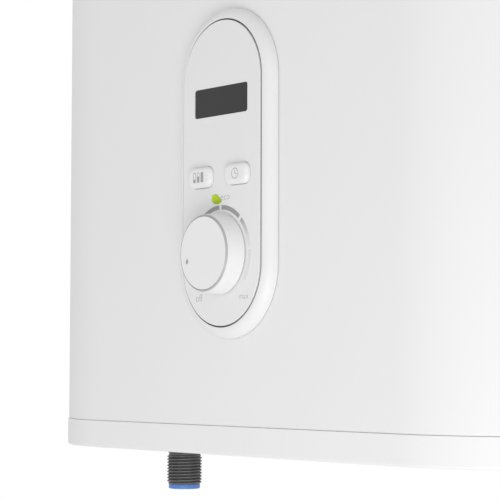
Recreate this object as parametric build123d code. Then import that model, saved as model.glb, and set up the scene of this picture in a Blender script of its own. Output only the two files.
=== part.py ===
from build123d import *
import math
import os

# Flat wall-hung electric storage water heater with two side-by-side tanks.
# Millimetres. +X is right as seen from the front, +Y is towards the wall and +Z is up.
# The origin lies on the wall plane, midway between the four wall slots.

# General clearances
fit_gap = 0.2
weld_gap = 0.05
run_gap = 0.05
slide_gap = 0.25
screw_gap = 0.15

# Tanks
tank_radius = 94.0
tank_wall = 1.8
tank_gap = 12.0
tank_straight = 688.0
dome_height = 30.0
knuckle_radius = 16.0
neck_radius = 34.0
neck_wall = 3.0
neck_length = 12.0

# Heater flanges under the tanks
flange_radius = 46.0
flange_ring = 4.0
flange_plate = 4.0
gasket_thickness = 2.5
flange_bolt_count = 6
flange_bolt_radius = 3.0
flange_bolt_head = 5.0
flange_bolt_head_height = 4.0
flange_bolt_edge = 6.0

# Parts that the heater flanges carry
element_radius = 4.2
element_height = 320.0
element_leg_offset = 13.0
element_depth_offset = 10.0
element_bend = 12.0
terminal_radius = 1.6
terminal_length = 14.0
anode_radius = 8.0
anode_length = 230.0
anode_stud_radius = 3.0
anode_stud_length = 14.0
anode_nut_radius = 5.8
anode_nut_height = 5.0
pocket_offset = 13.0
thermowell_radius = 5.0
thermowell_wall = 1.0
thermowell_length = 240.0
probe_radius = 3.6
probe_length = 190.0
thermostat_width = 26.0
thermostat_height = 22.0
thermostat_bore_radius = 2.6
reset_radius = 2.4
reset_length = 8.0
reset_proud = 2.4
reset_travel = 1.2
sensor_body_radius = 8.0
sensor_body_height = 9.0

# Jacket and its insulation
side_insulation = 23.0
front_insulation = 26.0
top_insulation = 16.0
jacket_corner = 86.0
sheet = 0.8
lock_seam_width = 9.0
lock_seam_height = 1.0

# End caps
cap_rim = 15.6
cap_wall = 2.5
cap_floor = 3.0
cap_proud = 0.6
cap_round = 1.5
rim_round = 0.35
seam_gap = 0.7
lip_height = 14.0
lip_wall = 2.0

# Compartment under the tanks
compartment_height = 62.0
plate_sheet = 0.8
pole_gap = 4.0
cover_opening_width = 250.0
cover_opening_depth = 96.0
cover_opening_corner = 30.0
cover_ledge = 10.0
cover_ledge_thickness = 3.0
cover_shift = 8.0
cover_screw_radius = 1.5
cover_screw_head = 3.1
cover_screw_head_height = 2.0
cover_boss_radius = 4.0
cover_boss_height = 6.0

# Water connections, G 1/2 outside thread
thread_radius = 10.48
thread_depth = 1.16
thread_pitch = 1.814
thread_crest = 0.42
thread_turns = 11
thread_drop = 3.4
nipple_radius = 9.9
nipple_bore = 7.5
nipple_rise = 12.0
pipe_hole_gap = 1.6
nipple_clearance = 7.5
inlet_angle = 71.0
outlet_angle = 40.0
sleeve_bore = 6.3
sleeve_collar_radius = 9.45
sleeve_collar = 2.6
sleeve_length = 30.0
diffuser_wall = 2.0
diffuser_height = 30.0
diffuser_overlap = 10.0
diffuser_slot_width = 8.0
diffuser_slot_height = 10.0
standpipe_wall = 1.2
standpipe_top_gap = 16.0
standpipe_overlap = 22.0
transfer_radius = 8.0
transfer_wall = 1.2
transfer_inset = 40.0
transfer_top_gap = 30.0
transfer_bottom_gap = 20.0
transfer_bend = 24.0
transfer_reach = 16.0

# Wall brackets
wall_standoff = 16.0
bracket_plate = 2.5
bracket_length = 250.0
bracket_flange = 34.0
bracket_foot = 34.0
slot_width = 11.0
slot_length = 26.0
slot_spacing_x = 200.0
slot_spacing_z = 500.0
bracket_bolt_radius = 4.0
bracket_bolt_head = 6.5
bracket_bolt_head_height = 5.3
rail_thickness = 3.0
rail_height = 36.0
rail_length = 240.0
rail_boss_radius = 12.0
rail_bolt_reach = 15.0
notch_clearance = 3.0

# Screws that hold the jacket to the caps
jacket_screw_radius = 1.6
jacket_screw_head = 4.0
jacket_screw_head_height = 2.2
jacket_screw_x = 110.0

# Supply cable gland
gland_radius = 8.0
gland_bore = 4.5
gland_flange_radius = 11.0
gland_flange = 4.0
gland_nose = 8.0
gland_nose_radius = 9.0
gland_locknut = 4.0
gland_wall_offset = 30.0

# Control panel, on its own centre line
panel_height = 151.4
face_radius = 33.5
face_straight = 98.0
face_plate = 2.5
face_top = 7.5
face_edge_round = 0.3
trim_width = 0.55
trim_drop = 0.45
bezel_top = 6.9
bezel_land = 0.9
bezel_flare = 5.05
bezel_bulge = 1.15
bezel_ledge = 2.5
spigot_depth = 5.0
cutout_gap = 0.3
housing_depth = 22.0
housing_wall = 2.0
board_thickness = 1.6
board_gap = 2.2
board_top = -6.4
board_post_radius = 3.0
board_post_x = 20.0
board_post_y = 56.0
clip_width = 9.0
clip_depth = 2.2
clip_height = 3.0
clip_y = 34.0

# Display
display_width = 45.4
display_height = 15.3
display_corner = 1.4
display_y = 38.6
display_recess = 0.1
display_flange = 2.0
display_flange_thickness = 1.2
module_margin = 1.0

# Push buttons
button_half_width = 9.8
button_half_height = 5.6
button_corner = 4.4
button_proud = 3.1
button_round = 2.4
button_x = 15.7
button_y = -1.9
button_rim = 1.3
button_flange = 1.6
button_travel = 0.8
button_stem_radius = 1.6
switch_width = 6.0
switch_height = 3.6
plunger_radius = 1.7
plunger_proud = 1.5
plunger_seat = 2.4

# Eco indicator, a leaf-shaped lens
leaf_x = -3.25
leaf_y = -14.5
leaf_length = 8.8
leaf_width = 4.8
leaf_tilt = -17.0
leaf_round = 1.3
leaf_proud = 0.4
leaf_flange = 1.0
led_size = 3.0
led_height = 1.4

# Temperature knob and its encoder
knob_y = -43.7
knob_base_radius = 21.9
knob_front_radius = 20.5
knob_height = 11.8
knob_lift = 0.5
knob_wall = 2.0
knob_front_wall = 2.4
knob_trim_width = 1.0
knob_trim_depth = 0.8
knob_hub_radius = 6.0
dimple_radius = 1.45
dimple_depth = 0.55
dimple_orbit = 14.8
dimple_angle = 196.0
encoder_width = 12.0
encoder_height = 6.5
bushing_radius = 3.6
shaft_radius = 3.0
shaft_flat = 0.8
shaft_flat_length = 6.5
shaft_hole_gap = 0.6

# Boards and wiring in the compartment
power_board_width = 90.0
power_board_depth = 70.0
power_board_drop = 32.0
standoff_radius = 3.0
standoff_inset = 5.0
relay_width = 20.0
relay_depth = 16.0
relay_height = 15.0
relay_x = 22.0
terminal_block_width = 60.0
terminal_block_depth = 24.0
terminal_block_height = 12.0
socket_width = 13.0
socket_depth = 7.0
socket_height = 8.0
harness_radius = 2.6
harness_bend = 24.0
harness_gap = 0.8
lead_radius = 1.2
lead_drop = 12.0
lead_bend = 8.0
lead_shift = 8.0

# Places worked out from the sizes above
tank_x = tank_radius + tank_gap / 2
jacket_width = 2 * (tank_x + tank_radius + side_insulation)
jacket_depth = 2 * (tank_radius + front_insulation)
y_back = -wall_standoff
y_front = y_back - jacket_depth
y_mid = (y_back + y_front) / 2
tank_length = tank_straight + 2 * dome_height
overall_height = (
    compartment_height + pole_gap + tank_length + top_insulation
    + 2 * fit_gap + lip_height + cap_rim
)
z_bottom = -overall_height / 2
z_top = overall_height / 2
z_seam_low = z_bottom + cap_rim
z_seam_high = z_top - cap_rim
z_plate = z_bottom + compartment_height
z_pole_low = z_plate + pole_gap
z_pole_high = z_pole_low + tank_length
z_foam_top = z_pole_high + top_insulation
z_ring = z_pole_low - neck_length
z_gasket = z_ring - gasket_thickness
z_flange = z_gasket - flange_plate
lip_offset = -sheet - fit_gap
lip_inner_offset = lip_offset - lip_wall
neck_bore = neck_radius - neck_wall
flange_bolt_orbit = flange_radius - flange_bolt_edge
nipple_orbit = flange_radius + nipple_clearance + thread_radius
nipple_places = {
    side: (
        side * (tank_x + nipple_orbit * math.cos(math.radians(angle))),
        y_mid - nipple_orbit * math.sin(math.radians(angle)),
    )
    for side, angle in ((-1, inlet_angle), (1, outlet_angle))
}
z_thread = z_bottom - thread_drop
z_thread_end = z_thread - thread_turns * thread_pitch
z_nipple_top = z_pole_low + dome_height + nipple_rise
transfer_x = -tank_x + transfer_inset
z_transfer = z_pole_low + dome_height + transfer_bottom_gap
z_panel = z_bottom + panel_height
pocket_x = pocket_offset
pocket_y = -pocket_offset
z_power_board = z_plate - plate_sheet - power_board_drop
y_power_front = y_mid - power_board_depth / 2
z_harness = z_power_board + socket_height / 2
housing_radius = face_radius + trim_width + bezel_land
harness_depth = -board_top + board_thickness + socket_height / 2
harness_start_y = -face_straight / 2 - socket_width
shaft_foot = board_top + board_thickness
shaft_tip = face_top + knob_height - knob_front_wall - fit_gap
sides = {"left": -1, "right": 1}
panel = Plane(origin=(0, y_front, z_panel), x_dir=(1, 0, 0), z_dir=(0, -1, 0)).location


# Shared shapes
def slab(sketch, z_low, z_high):
    """A flat sketch given its height between two levels."""
    return extrude(Pos(0, 0, z_low) * sketch, amount=z_high - z_low)


def z_rod(x, y, z_low, z_high, radius):
    """A round bar along Z."""
    return Pos(x, y, (z_low + z_high) / 2) * Cylinder(radius, z_high - z_low)


def y_rod(x, z, y_low, y_high, radius):
    """A round bar along Y."""
    return Pos(x, (y_low + y_high) / 2, z) * Rot(90, 0, 0) * Cylinder(radius, y_high - y_low)


def block(x, y, z_low, width, depth, height):
    """A box standing on a level, centred on a point."""
    return Pos(x, y, z_low + height / 2) * Box(width, depth, height)


def z_hex(x, y, z_low, z_high, radius):
    """A hexagonal bar along Z, with its corners on a radius."""
    return slab(Pos(x, y) * RegularPolygon(radius, 6), z_low, z_high)


def turned(points):
    """A solid of revolution about Z from its radius and height points."""
    outline = Polyline(*points, close=True)
    return revolve(Plane.XZ * make_face(outline), Axis.Z, 360)


def swept(section, points, radii):
    """A section carried along straight runs joined by tangent arcs."""
    path = FilletPolyline(*points, radius=radii)
    start = Plane(origin=path @ 0, z_dir=path % 0)
    return sweep(start * section, path=path)


def casing_section(offset):
    """Outline of the jacket, grown by an offset."""
    outline = RectangleRounded(
        jacket_width + 2 * offset, jacket_depth + 2 * offset, jacket_corner + offset
    )
    return Pos(0, y_mid) * outline


def stadium(radius):
    """Upright round-ended outline of the control panel."""
    return Rot(0, 0, 90) * SlotCenterToCenter(face_straight, 2 * radius)


def stadium_ring(profile):
    """Carries a profile, drawn by its distance from the centre line, round the panel's outline."""
    end = revolve(profile, Axis.Z, 180)
    side = extrude(Pos(0, face_straight / 2, 0) * profile, amount=face_straight, dir=(0, -1, 0))
    top = Pos(0, face_straight / 2, 0) * end
    bottom = Pos(0, -face_straight / 2, 0) * Rot(0, 0, 180) * end
    return top + bottom + side + Rot(0, 0, 180) * side


# Tanks and water path
def vessel(radius, dome, knuckle, z_low, z_high):
    """A closed round vessel with dished ends."""
    lower_root = (radius, z_low + dome)
    upper_root = (radius, z_high - dome)
    sphere = (radius**2 + dome**2) / (2 * dome)
    half = radius / 2
    sag = sphere - math.sqrt(sphere**2 - half**2)
    lower = ThreePointArc((0, z_low), (half, z_low + sag), lower_root)
    upper = ThreePointArc(upper_root, (half, z_high - sag), (0, z_high))
    outline = [lower, Line(lower_root, upper_root), upper, Line((0, z_high), (0, z_low))]
    profile = make_face(outline)
    roots = profile.vertices().group_by(Axis.X)[-1]
    return revolve(Plane.XZ * fillet(roots, knuckle), Axis.Z, 360)


def tank_space(side, clearance):
    """Room that a tank, its neck and its ring take up in the insulation."""
    body = vessel(
        tank_radius + clearance, dome_height, knuckle_radius,
        z_pole_low - clearance, z_pole_high + clearance,
    )
    neck = z_rod(0, 0, z_ring, z_pole_low + dome_height, neck_radius + clearance)
    return Pos(side * tank_x, y_mid, 0) * (body + neck)


def ring_holes(z_low, z_high):
    """Bolt holes of a heater flange, about its own axis."""
    hole = z_rod(flange_bolt_orbit, 0, z_low, z_high, flange_bolt_radius + screw_gap)
    return [Rot(0, 0, 360 * i / flange_bolt_count) * hole for i in range(flange_bolt_count)]


def tank(side):
    """Enamelled tank with its neck and bolting ring."""
    outer = vessel(tank_radius, dome_height, knuckle_radius, z_pole_low, z_pole_high)
    inner = vessel(
        tank_radius - tank_wall, dome_height, knuckle_radius - tank_wall,
        z_pole_low + tank_wall, z_pole_high - tank_wall,
    )
    neck = z_rod(0, 0, z_ring, z_pole_low + dome_height, neck_radius)
    ring = z_rod(0, 0, z_ring, z_ring + flange_ring, flange_radius)
    mouth = z_rod(0, 0, z_ring, z_pole_low + dome_height, neck_bore)
    body = outer + neck + ring - inner - mouth
    for hole in ring_holes(z_ring, z_ring + flange_ring):
        body -= hole
    body = Pos(side * tank_x, y_mid, 0) * body
    body -= z_rod(*nipple_places[side], z_plate, z_nipple_top, nipple_radius + weld_gap)
    return body - transfer_bore()


def transfer_bore():
    """Passage of the transfer pipe through the facing tank walls."""
    reach = tank_gap / 2 + tank_wall + transfer_reach
    bar = Rot(0, 90, 0) * Cylinder(transfer_radius + weld_gap, 2 * reach)
    return Pos(0, y_mid, z_transfer) * bar


def transfer_pipe():
    """Takes warm water from the top of the left tank to the foot of the right one."""
    end_x = tank_gap / 2 + tank_wall + transfer_reach
    top = z_pole_high - dome_height - transfer_top_gap
    points = [(transfer_x, y_mid, top), (transfer_x, y_mid, z_transfer), (end_x, y_mid, z_transfer)]
    section = Circle(transfer_radius) - Circle(transfer_radius - transfer_wall)
    return swept(section, points, transfer_bend)


def nipple(side):
    """Steel water connection with a ridged outside thread."""
    root = thread_radius - thread_depth
    slope = (thread_pitch - thread_crest) / 2
    points = [(nipple_bore, z_nipple_top), (nipple_radius, z_nipple_top)]
    points += [(nipple_radius, z_thread + thread_pitch), (root, z_thread + thread_pitch)]
    for turn in range(thread_turns):
        z = z_thread - turn * thread_pitch
        points.append((root, z))
        points.append((thread_radius, z - slope))
        points.append((thread_radius, z - slope - thread_crest))
    points += [(root, z_thread_end), (nipple_bore, z_thread_end)]
    return Pos(*nipple_places[side], 0) * turned(points)


def sleeve(side):
    """Coloured insulating sleeve pushed into the end of a connection."""
    outer = nipple_bore - run_gap
    points = [
        (sleeve_bore, z_thread_end - sleeve_collar),
        (sleeve_collar_radius, z_thread_end - sleeve_collar),
        (sleeve_collar_radius, z_thread_end),
        (outer, z_thread_end),
        (outer, z_thread_end + sleeve_length),
        (sleeve_bore, z_thread_end + sleeve_length),
    ]
    return Pos(*nipple_places[side], 0) * turned(points)


def inlet_diffuser():
    """Slotted cap that spreads the cold water over the tank floor."""
    bore = nipple_radius + run_gap
    foot = z_nipple_top - diffuser_overlap
    top = foot + diffuser_height
    cup = z_rod(0, 0, foot, top, bore + diffuser_wall)
    cup -= z_rod(0, 0, foot, z_nipple_top, bore)
    cup -= z_rod(0, 0, z_nipple_top, top - diffuser_wall, nipple_bore)
    span = 2 * (bore + diffuser_wall)
    slot = block(0, 0, z_nipple_top + fit_gap, span, diffuser_slot_width, diffuser_slot_height)
    cup -= slot
    cup -= Rot(0, 0, 90) * slot
    return Pos(*nipple_places[sides["left"]], 0) * cup


def hot_outlet_standpipe():
    """Draws hot water from the top of the right tank."""
    outer = nipple_bore - run_gap
    points = [
        (outer - standpipe_wall, z_nipple_top - standpipe_overlap),
        (outer, z_nipple_top - standpipe_overlap),
        (outer, z_pole_high - dome_height - standpipe_top_gap),
        (outer - standpipe_wall, z_pole_high - dome_height - standpipe_top_gap),
    ]
    return Pos(*nipple_places[sides["right"]], 0) * turned(points)


# Heater flanges and what they carry
def flange_gaskets():
    """Rubber rings between the tanks and the heater flanges."""
    ring = z_rod(0, 0, z_gasket, z_ring, flange_radius) - z_rod(0, 0, z_gasket, z_ring, neck_bore)
    for hole in ring_holes(z_gasket, z_ring):
        ring -= hole
    return [Pos(side * tank_x, y_mid, 0) * ring for side in sides.values()]


def flange(side):
    """Plate that closes a tank and carries its heating element."""
    plate = z_rod(0, 0, z_flange, z_gasket, flange_radius)
    for hole in ring_holes(z_flange, z_gasket):
        plate -= hole
    for leg in (-1, 1):
        plate -= z_rod(
            leg * element_leg_offset, element_depth_offset, z_flange, z_gasket, element_radius + weld_gap
        )
    plate -= z_rod(pocket_x, pocket_y, z_flange, z_gasket, anode_stud_radius + screw_gap)
    plate -= z_rod(-pocket_x, pocket_y, z_flange, z_gasket, thermowell_radius + weld_gap)
    return Pos(side * tank_x, y_mid, 0) * plate


def flange_bolts():
    """Hexagon bolts of both heater flanges."""
    tip = z_ring + flange_ring
    bolts = []
    for side in sides.values():
        for i in range(flange_bolt_count):
            angle = math.radians(360 * i / flange_bolt_count)
            x = side * tank_x + flange_bolt_orbit * math.cos(angle)
            y = y_mid + flange_bolt_orbit * math.sin(angle)
            head = z_hex(x, y, z_flange - flange_bolt_head_height, z_flange, flange_bolt_head)
            bolts.append(head + z_rod(x, y, z_flange, tip, flange_bolt_radius))
    return bolts


def heating_element(side):
    """Hairpin heating rod with its two terminal pins."""
    x_low = side * tank_x - element_leg_offset
    x_high = side * tank_x + element_leg_offset
    y = y_mid + element_depth_offset
    z_low = z_flange - terminal_radius
    z_high = z_gasket + element_height
    points = [(x_low, y, z_low), (x_low, y, z_high), (x_high, y, z_high), (x_high, y, z_low)]
    rod = swept(Circle(element_radius), points, element_bend)
    for x in (x_low, x_high):
        rod += z_rod(x, y, z_low - terminal_length, z_low, terminal_radius)
    return rod


def anodes():
    """Magnesium rods on steel studs."""
    rods = []
    for side in sides.values():
        x, y = side * tank_x + pocket_x, y_mid + pocket_y
        rod = z_rod(x, y, z_gasket, z_gasket + anode_length, anode_radius)
        rods.append(rod + z_rod(x, y, z_gasket - anode_stud_length, z_gasket, anode_stud_radius))
    return rods


def anode_nuts():
    """Nuts that hold the anodes to the flanges."""
    nuts = []
    for side in sides.values():
        x, y = side * tank_x + pocket_x, y_mid + pocket_y
        nut = z_hex(x, y, z_flange - anode_nut_height, z_flange, anode_nut_radius)
        nuts.append(nut - z_rod(x, y, z_flange - anode_nut_height, z_flange, anode_stud_radius + run_gap))
    return nuts


def thermowells():
    """Closed pockets in the water for the thermostat rod and the sensor."""
    wells = []
    for side in sides.values():
        x, y = side * tank_x - pocket_x, y_mid + pocket_y
        top = z_gasket + thermowell_length
        well = z_rod(x, y, z_flange, top, thermowell_radius)
        wells.append(well - z_rod(x, y, z_flange, top - thermowell_wall, thermowell_radius - thermowell_wall))
    return wells


def safety_thermostat():
    """Rod thermostat with a manual reset, plugged into the left pocket."""
    x, y = -tank_x - pocket_x, y_mid + pocket_y
    base = z_flange - thermostat_height
    body = block(x, y, base, thermostat_width, thermostat_width, thermostat_height)
    body += z_rod(x, y, z_flange, z_flange + probe_length, probe_radius)
    return body - z_rod(x, y, base, base + reset_length + reset_travel, thermostat_bore_radius)


def thermostat_reset_button():
    """Small pin that resets the safety thermostat when it is pushed up."""
    base = z_flange - thermostat_height
    length = reset_length - reset_proud
    return z_rod(-tank_x - pocket_x, y_mid + pocket_y, base - reset_proud, base + length, reset_radius)


def temperature_sensor():
    """Temperature probe of the control board, in the right pocket."""
    x, y = tank_x - pocket_x, y_mid + pocket_y
    body = z_rod(x, y, z_flange - sensor_body_height, z_flange, sensor_body_radius)
    return body + z_rod(x, y, z_flange, z_flange + probe_length, probe_radius)


# Jacket, caps and insulation
def bracket_bolt_places():
    """The X and Z of each bolt that carries a wall bracket."""
    drop = bracket_flange / 2 + bracket_foot / 2
    levels = [slot_spacing_z / 2 - drop, -slot_spacing_z / 2 - drop]
    return [(side * tank_x, z) for z in levels for side in sides.values()]


def jacket_screw_places():
    """The X and Z of each screw through the back of the jacket."""
    levels = [z_seam_low + lip_height / 2, z_seam_high - lip_height / 2]
    return [(side * jacket_screw_x, z) for z in levels for side in sides.values()]


def outer_jacket():
    """Painted sheet wrapped round the tanks, joined by a lock seam at the back."""
    low, high = z_seam_low + seam_gap, z_seam_high - seam_gap
    body = slab(casing_section(0) - casing_section(-sheet), low, high)
    body += block(0, y_back + lock_seam_height / 2, low, lock_seam_width, lock_seam_height, high - low)
    body -= panel * extrude(stadium(housing_radius + cutout_gap), amount=2 * sheet, both=True)
    for x, z in bracket_bolt_places():
        body -= y_rod(x, z, y_back - sheet, y_back, bracket_bolt_radius + screw_gap)
    for x, z in jacket_screw_places():
        body -= y_rod(x, z, y_back - sheet, y_back, jacket_screw_radius + screw_gap)
    return body


def cap_shell():
    """End cap lying on its floor, with a lip that slides inside the jacket."""
    body = slab(casing_section(cap_proud), 0, cap_rim)
    body = fillet(body.edges().group_by(Axis.Z)[0], cap_round)
    body = fillet(body.edges().group_by(Axis.Z)[-1], rim_round)
    body -= slab(casing_section(cap_proud - cap_wall), cap_floor, cap_rim)
    lip = casing_section(lip_offset) - casing_section(lip_inner_offset)
    return body + slab(lip, cap_floor, cap_rim + lip_height)


def screw_holes_in_lip(body):
    """A cap with the holes for the jacket's screws."""
    for x, z in jacket_screw_places():
        body -= y_rod(x, z, y_back + lip_inner_offset, y_back, jacket_screw_radius + run_gap)
    return body


def top_cap():
    """Upper end cap."""
    return screw_holes_in_lip(Pos(0, 0, z_top) * mirror(cap_shell(), about=Plane.XY))


def cover_outline(margin):
    """Outline of the service opening, grown by a margin."""
    outline = RectangleRounded(
        cover_opening_width + 2 * margin, cover_opening_depth + 2 * margin, cover_opening_corner + margin
    )
    return Pos(0, y_mid + cover_shift) * outline


def cover_screw_places():
    """The X and Y of each screw of the service cover, at the middle of its sides."""
    x = cover_opening_width / 2 + cover_ledge / 2
    y = cover_opening_depth / 2 + cover_ledge / 2
    return [(sx * x, y_mid + cover_shift + sy * y) for sx, sy in ((-1, 0), (1, 0), (0, -1), (0, 1))]


def bottom_cap():
    """Lower end cap with its service opening, pipe holes and cable outlet."""
    z_ledge = z_bottom + cap_floor
    z_boss = z_ledge + cover_ledge_thickness
    body = Pos(0, 0, z_bottom) * cap_shell()
    body += slab(cover_outline(cover_ledge + cap_floor), z_ledge, z_boss)
    for x, y in cover_screw_places():
        body += z_rod(x, y, z_boss, z_boss + cover_boss_height, cover_boss_radius)
    body -= slab(cover_outline(cover_ledge), z_bottom, z_ledge)
    body -= slab(cover_outline(0), z_ledge, z_boss + cover_boss_height)
    for x, y in cover_screw_places():
        body -= z_rod(x, y, z_ledge, z_boss + cover_boss_height, cover_screw_radius + run_gap)
    for side in sides.values():
        body -= z_rod(*nipple_places[side], z_bottom, z_boss, nipple_radius + pipe_hole_gap)
    body -= z_rod(0, y_back - gland_wall_offset, z_bottom, z_boss, gland_radius + fit_gap)
    return screw_holes_in_lip(body)


def service_cover():
    """Flush plate over the service opening."""
    plate = slab(cover_outline(cover_ledge - slide_gap), z_bottom, z_bottom + cap_floor)
    for x, y in cover_screw_places():
        plate -= z_rod(x, y, z_bottom, z_bottom + cap_floor, cover_screw_radius + screw_gap)
        plate -= z_rod(
            x, y, z_bottom, z_bottom + cover_screw_head_height, cover_screw_head + screw_gap
        )
    return plate


def casing_screws():
    """Screws of the service cover and of the jacket's back."""
    screws = []
    tip = z_bottom + cap_floor + cover_ledge_thickness + cover_boss_height
    for x, y in cover_screw_places():
        head = z_rod(x, y, z_bottom, z_bottom + cover_screw_head_height, cover_screw_head)
        screws.append(head + z_rod(x, y, z_bottom + cover_screw_head_height, tip, cover_screw_radius))
    for x, z in jacket_screw_places():
        head = y_rod(x, z, y_back, y_back + jacket_screw_head_height, jacket_screw_head)
        screws.append(head + y_rod(x, z, y_back + lip_inner_offset, y_back, jacket_screw_radius))
    return screws


def foam_insulation():
    """Insulating foam between the jacket and the tanks."""
    body = slab(casing_section(-sheet - fit_gap), z_plate, z_foam_top)
    for side in sides.values():
        body -= tank_space(side, fit_gap)
        body -= z_rod(*nipple_places[side], z_plate, z_pole_low + dome_height, nipple_radius + fit_gap)
    body -= Pos(0, y_mid, z_transfer) * Rot(0, 90, 0) * Cylinder(transfer_radius + fit_gap, 2 * tank_x)
    for x, z in bracket_bolt_places():
        body -= y_rod(x, z, y_mid, y_back, rail_boss_radius + fit_gap)
    for z in sorted({z for _, z in bracket_bolt_places()}):
        body -= rail_bar(z, fit_gap)
    room = housing_radius + fit_gap
    body -= panel * extrude(stadium(room), amount=-housing_depth - fit_gap)
    clip_room = housing_radius + clip_depth + fit_gap
    body -= panel * extrude(stadium(clip_room), amount=-sheet - clip_height - 2 * fit_gap)
    return body - z_rod(0, y_front + harness_depth, z_plate, z_panel, harness_radius + harness_gap)


def top_insulation_pad():
    """Pressed pad between the foam and the top cap."""
    outline = casing_section(lip_inner_offset - fit_gap)
    return slab(outline, z_foam_top + fit_gap, z_top - cap_floor - fit_gap)


def compartment_plate():
    """Sheet that closes the foam above the wiring compartment."""
    plate = slab(casing_section(lip_offset), z_plate - plate_sheet, z_plate - weld_gap)
    for side in sides.values():
        plate -= z_rod(side * tank_x, y_mid, z_plate - plate_sheet, z_plate, flange_radius + fit_gap)
        plate -= z_rod(*nipple_places[side], z_plate - plate_sheet, z_plate, nipple_radius + fit_gap)
    return plate - z_rod(
        0, y_front + harness_depth, z_plate - plate_sheet, z_plate, harness_radius + harness_gap
    )


# Wall brackets
def rail_bar(z, clearance):
    """Flat bar of a hanger rail just inside the back of the jacket."""
    depth = rail_thickness + 2 * clearance
    y = y_back - sheet - rail_thickness / 2
    bar = Box(rail_length + 2 * clearance, depth, rail_height + 2 * clearance)
    return Pos(0, y, z) * bar


def hanger_rails():
    """Bars welded to the backs of both tanks, which take the bracket bolts."""
    rails = []
    y_face = y_back - sheet
    for z in sorted({z for _, z in bracket_bolt_places()}):
        rail = rail_bar(z, 0)
        for side in sides.values():
            rail += y_rod(side * tank_x, z, y_mid, y_face, rail_boss_radius)
        for side in sides.values():
            x = side * tank_x
            rail -= z_rod(x, y_mid, z - rail_height, z + rail_height, tank_radius + weld_gap)
            rail -= y_rod(x, z, y_face - rail_bolt_reach - fit_gap, y_face, bracket_bolt_radius + run_gap)
        rails.append(rail)
    return rails


def wall_bracket(level):
    """Z-shaped hanger with two slots on the wall plane."""
    z_slot = level * slot_spacing_z / 2
    z_web = z_slot - bracket_flange / 2
    foot = block(
        0, y_back + bracket_plate / 2, z_web - bracket_foot, bracket_length, bracket_plate, bracket_foot
    )
    web = block(0, y_back / 2, z_web - bracket_plate, bracket_length, wall_standoff, bracket_plate)
    flange_height = bracket_flange + bracket_plate
    hook = block(0, -bracket_plate / 2, z_web - bracket_plate, bracket_length, bracket_plate, flange_height)
    body = foot + web + hook
    outline = SlotOverall(slot_length, slot_width)
    for side in sides.values():
        slot = extrude(outline, amount=bracket_plate, both=True)
        body -= Pos(side * slot_spacing_x / 2, 0, z_slot) * Rot(90, 0, 0) * slot
    for x, z in bracket_bolt_places():
        body -= y_rod(x, z, y_back, y_back + bracket_plate, bracket_bolt_radius + screw_gap)
    notch = lock_seam_width + 2 * notch_clearance
    body -= block(
        0, y_back + bracket_plate / 2, z_web - bracket_foot, notch, bracket_plate, bracket_foot
    )
    return body


def bracket_bolts():
    """Hexagon bolts from the brackets into the hanger rails."""
    bolts = []
    y_foot = y_back + bracket_plate
    for x, z in bracket_bolt_places():
        head = extrude(RegularPolygon(bracket_bolt_head, 6), amount=bracket_bolt_head_height)
        head = Pos(x, y_foot, z) * Rot(-90, 0, 0) * head
        shank = y_rod(x, z, y_back - sheet - rail_bolt_reach, y_foot, bracket_bolt_radius)
        bolts.append(head + shank)
    return bolts


# Supply cable outlet
def cable_gland():
    """Gland body, locknut and clamping nose for the supply cable."""
    y = y_back - gland_wall_offset
    z_nut = z_bottom + cap_floor
    z_flange_low = z_bottom - gland_flange
    body = z_rod(0, y, z_bottom, z_nut + gland_locknut, gland_radius)
    body += z_hex(0, y, z_flange_low, z_bottom, gland_flange_radius)
    body -= z_rod(0, y, z_flange_low, z_nut + gland_locknut, gland_bore)
    nut = z_hex(0, y, z_nut, z_nut + gland_locknut, gland_flange_radius)
    nut -= z_rod(0, y, z_nut, z_nut + gland_locknut, gland_radius + run_gap)
    nose = z_rod(0, y, z_flange_low - gland_nose, z_flange_low, gland_nose_radius)
    nose = fillet(nose.edges().group_by(Axis.Z)[0], (gland_nose_radius - gland_bore) / 2)
    nose -= z_rod(0, y, z_flange_low - gland_nose, z_flange_low, gland_bore)
    return [body, nut, nose]


# Control panel, drawn on its own axes with Z out of the front
def panel_bezel():
    """Flared rim that stands on the jacket and carries the face plate."""
    inner = face_radius + trim_width
    land = inner + bezel_land
    ledge = face_top - face_plate
    bore = inner - bezel_ledge
    base = land + bezel_flare
    middle = ((land + base) / 2 + bezel_bulge, bezel_top / 2 + bezel_bulge)
    edges = [
        ThreePointArc((base, 0), middle, (land, bezel_top)),
        Polyline((land, bezel_top), (inner, bezel_top), (inner, ledge), (bore, ledge)),
        Polyline((bore, ledge), (bore, -spigot_depth), (land, -spigot_depth), (land, 0), (base, 0)),
    ]
    return stadium_ring(Plane.XZ * make_face([e for line in edges for e in line.edges()]))


def panel_trim_ring():
    """Thin grey ring round the face plate."""
    low, high = face_top - face_plate, face_top - trim_drop
    ring = stadium(face_radius + trim_width - weld_gap) - stadium(face_radius + weld_gap)
    return slab(ring, low, high)


def leaf(margin):
    """Outline of the eco indicator."""
    length, width = leaf_length + 2 * margin, leaf_width + 2 * margin
    upper = ThreePointArc((-length / 2, 0), (0, width / 2), (length / 2, 0))
    lower = ThreePointArc((length / 2, 0), (0, -width / 2), (-length / 2, 0))
    outline = make_face([upper, lower])
    blunt = outline.vertices().sort_by(Axis.X)[0]
    return Pos(leaf_x, leaf_y) * Rot(0, 0, leaf_tilt) * fillet(blunt, leaf_round)


def window_outline(margin):
    """Outline of the display window."""
    outline = RectangleRounded(
        display_width + 2 * margin, display_height + 2 * margin, display_corner + margin
    )
    return Pos(0, display_y) * outline


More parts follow.
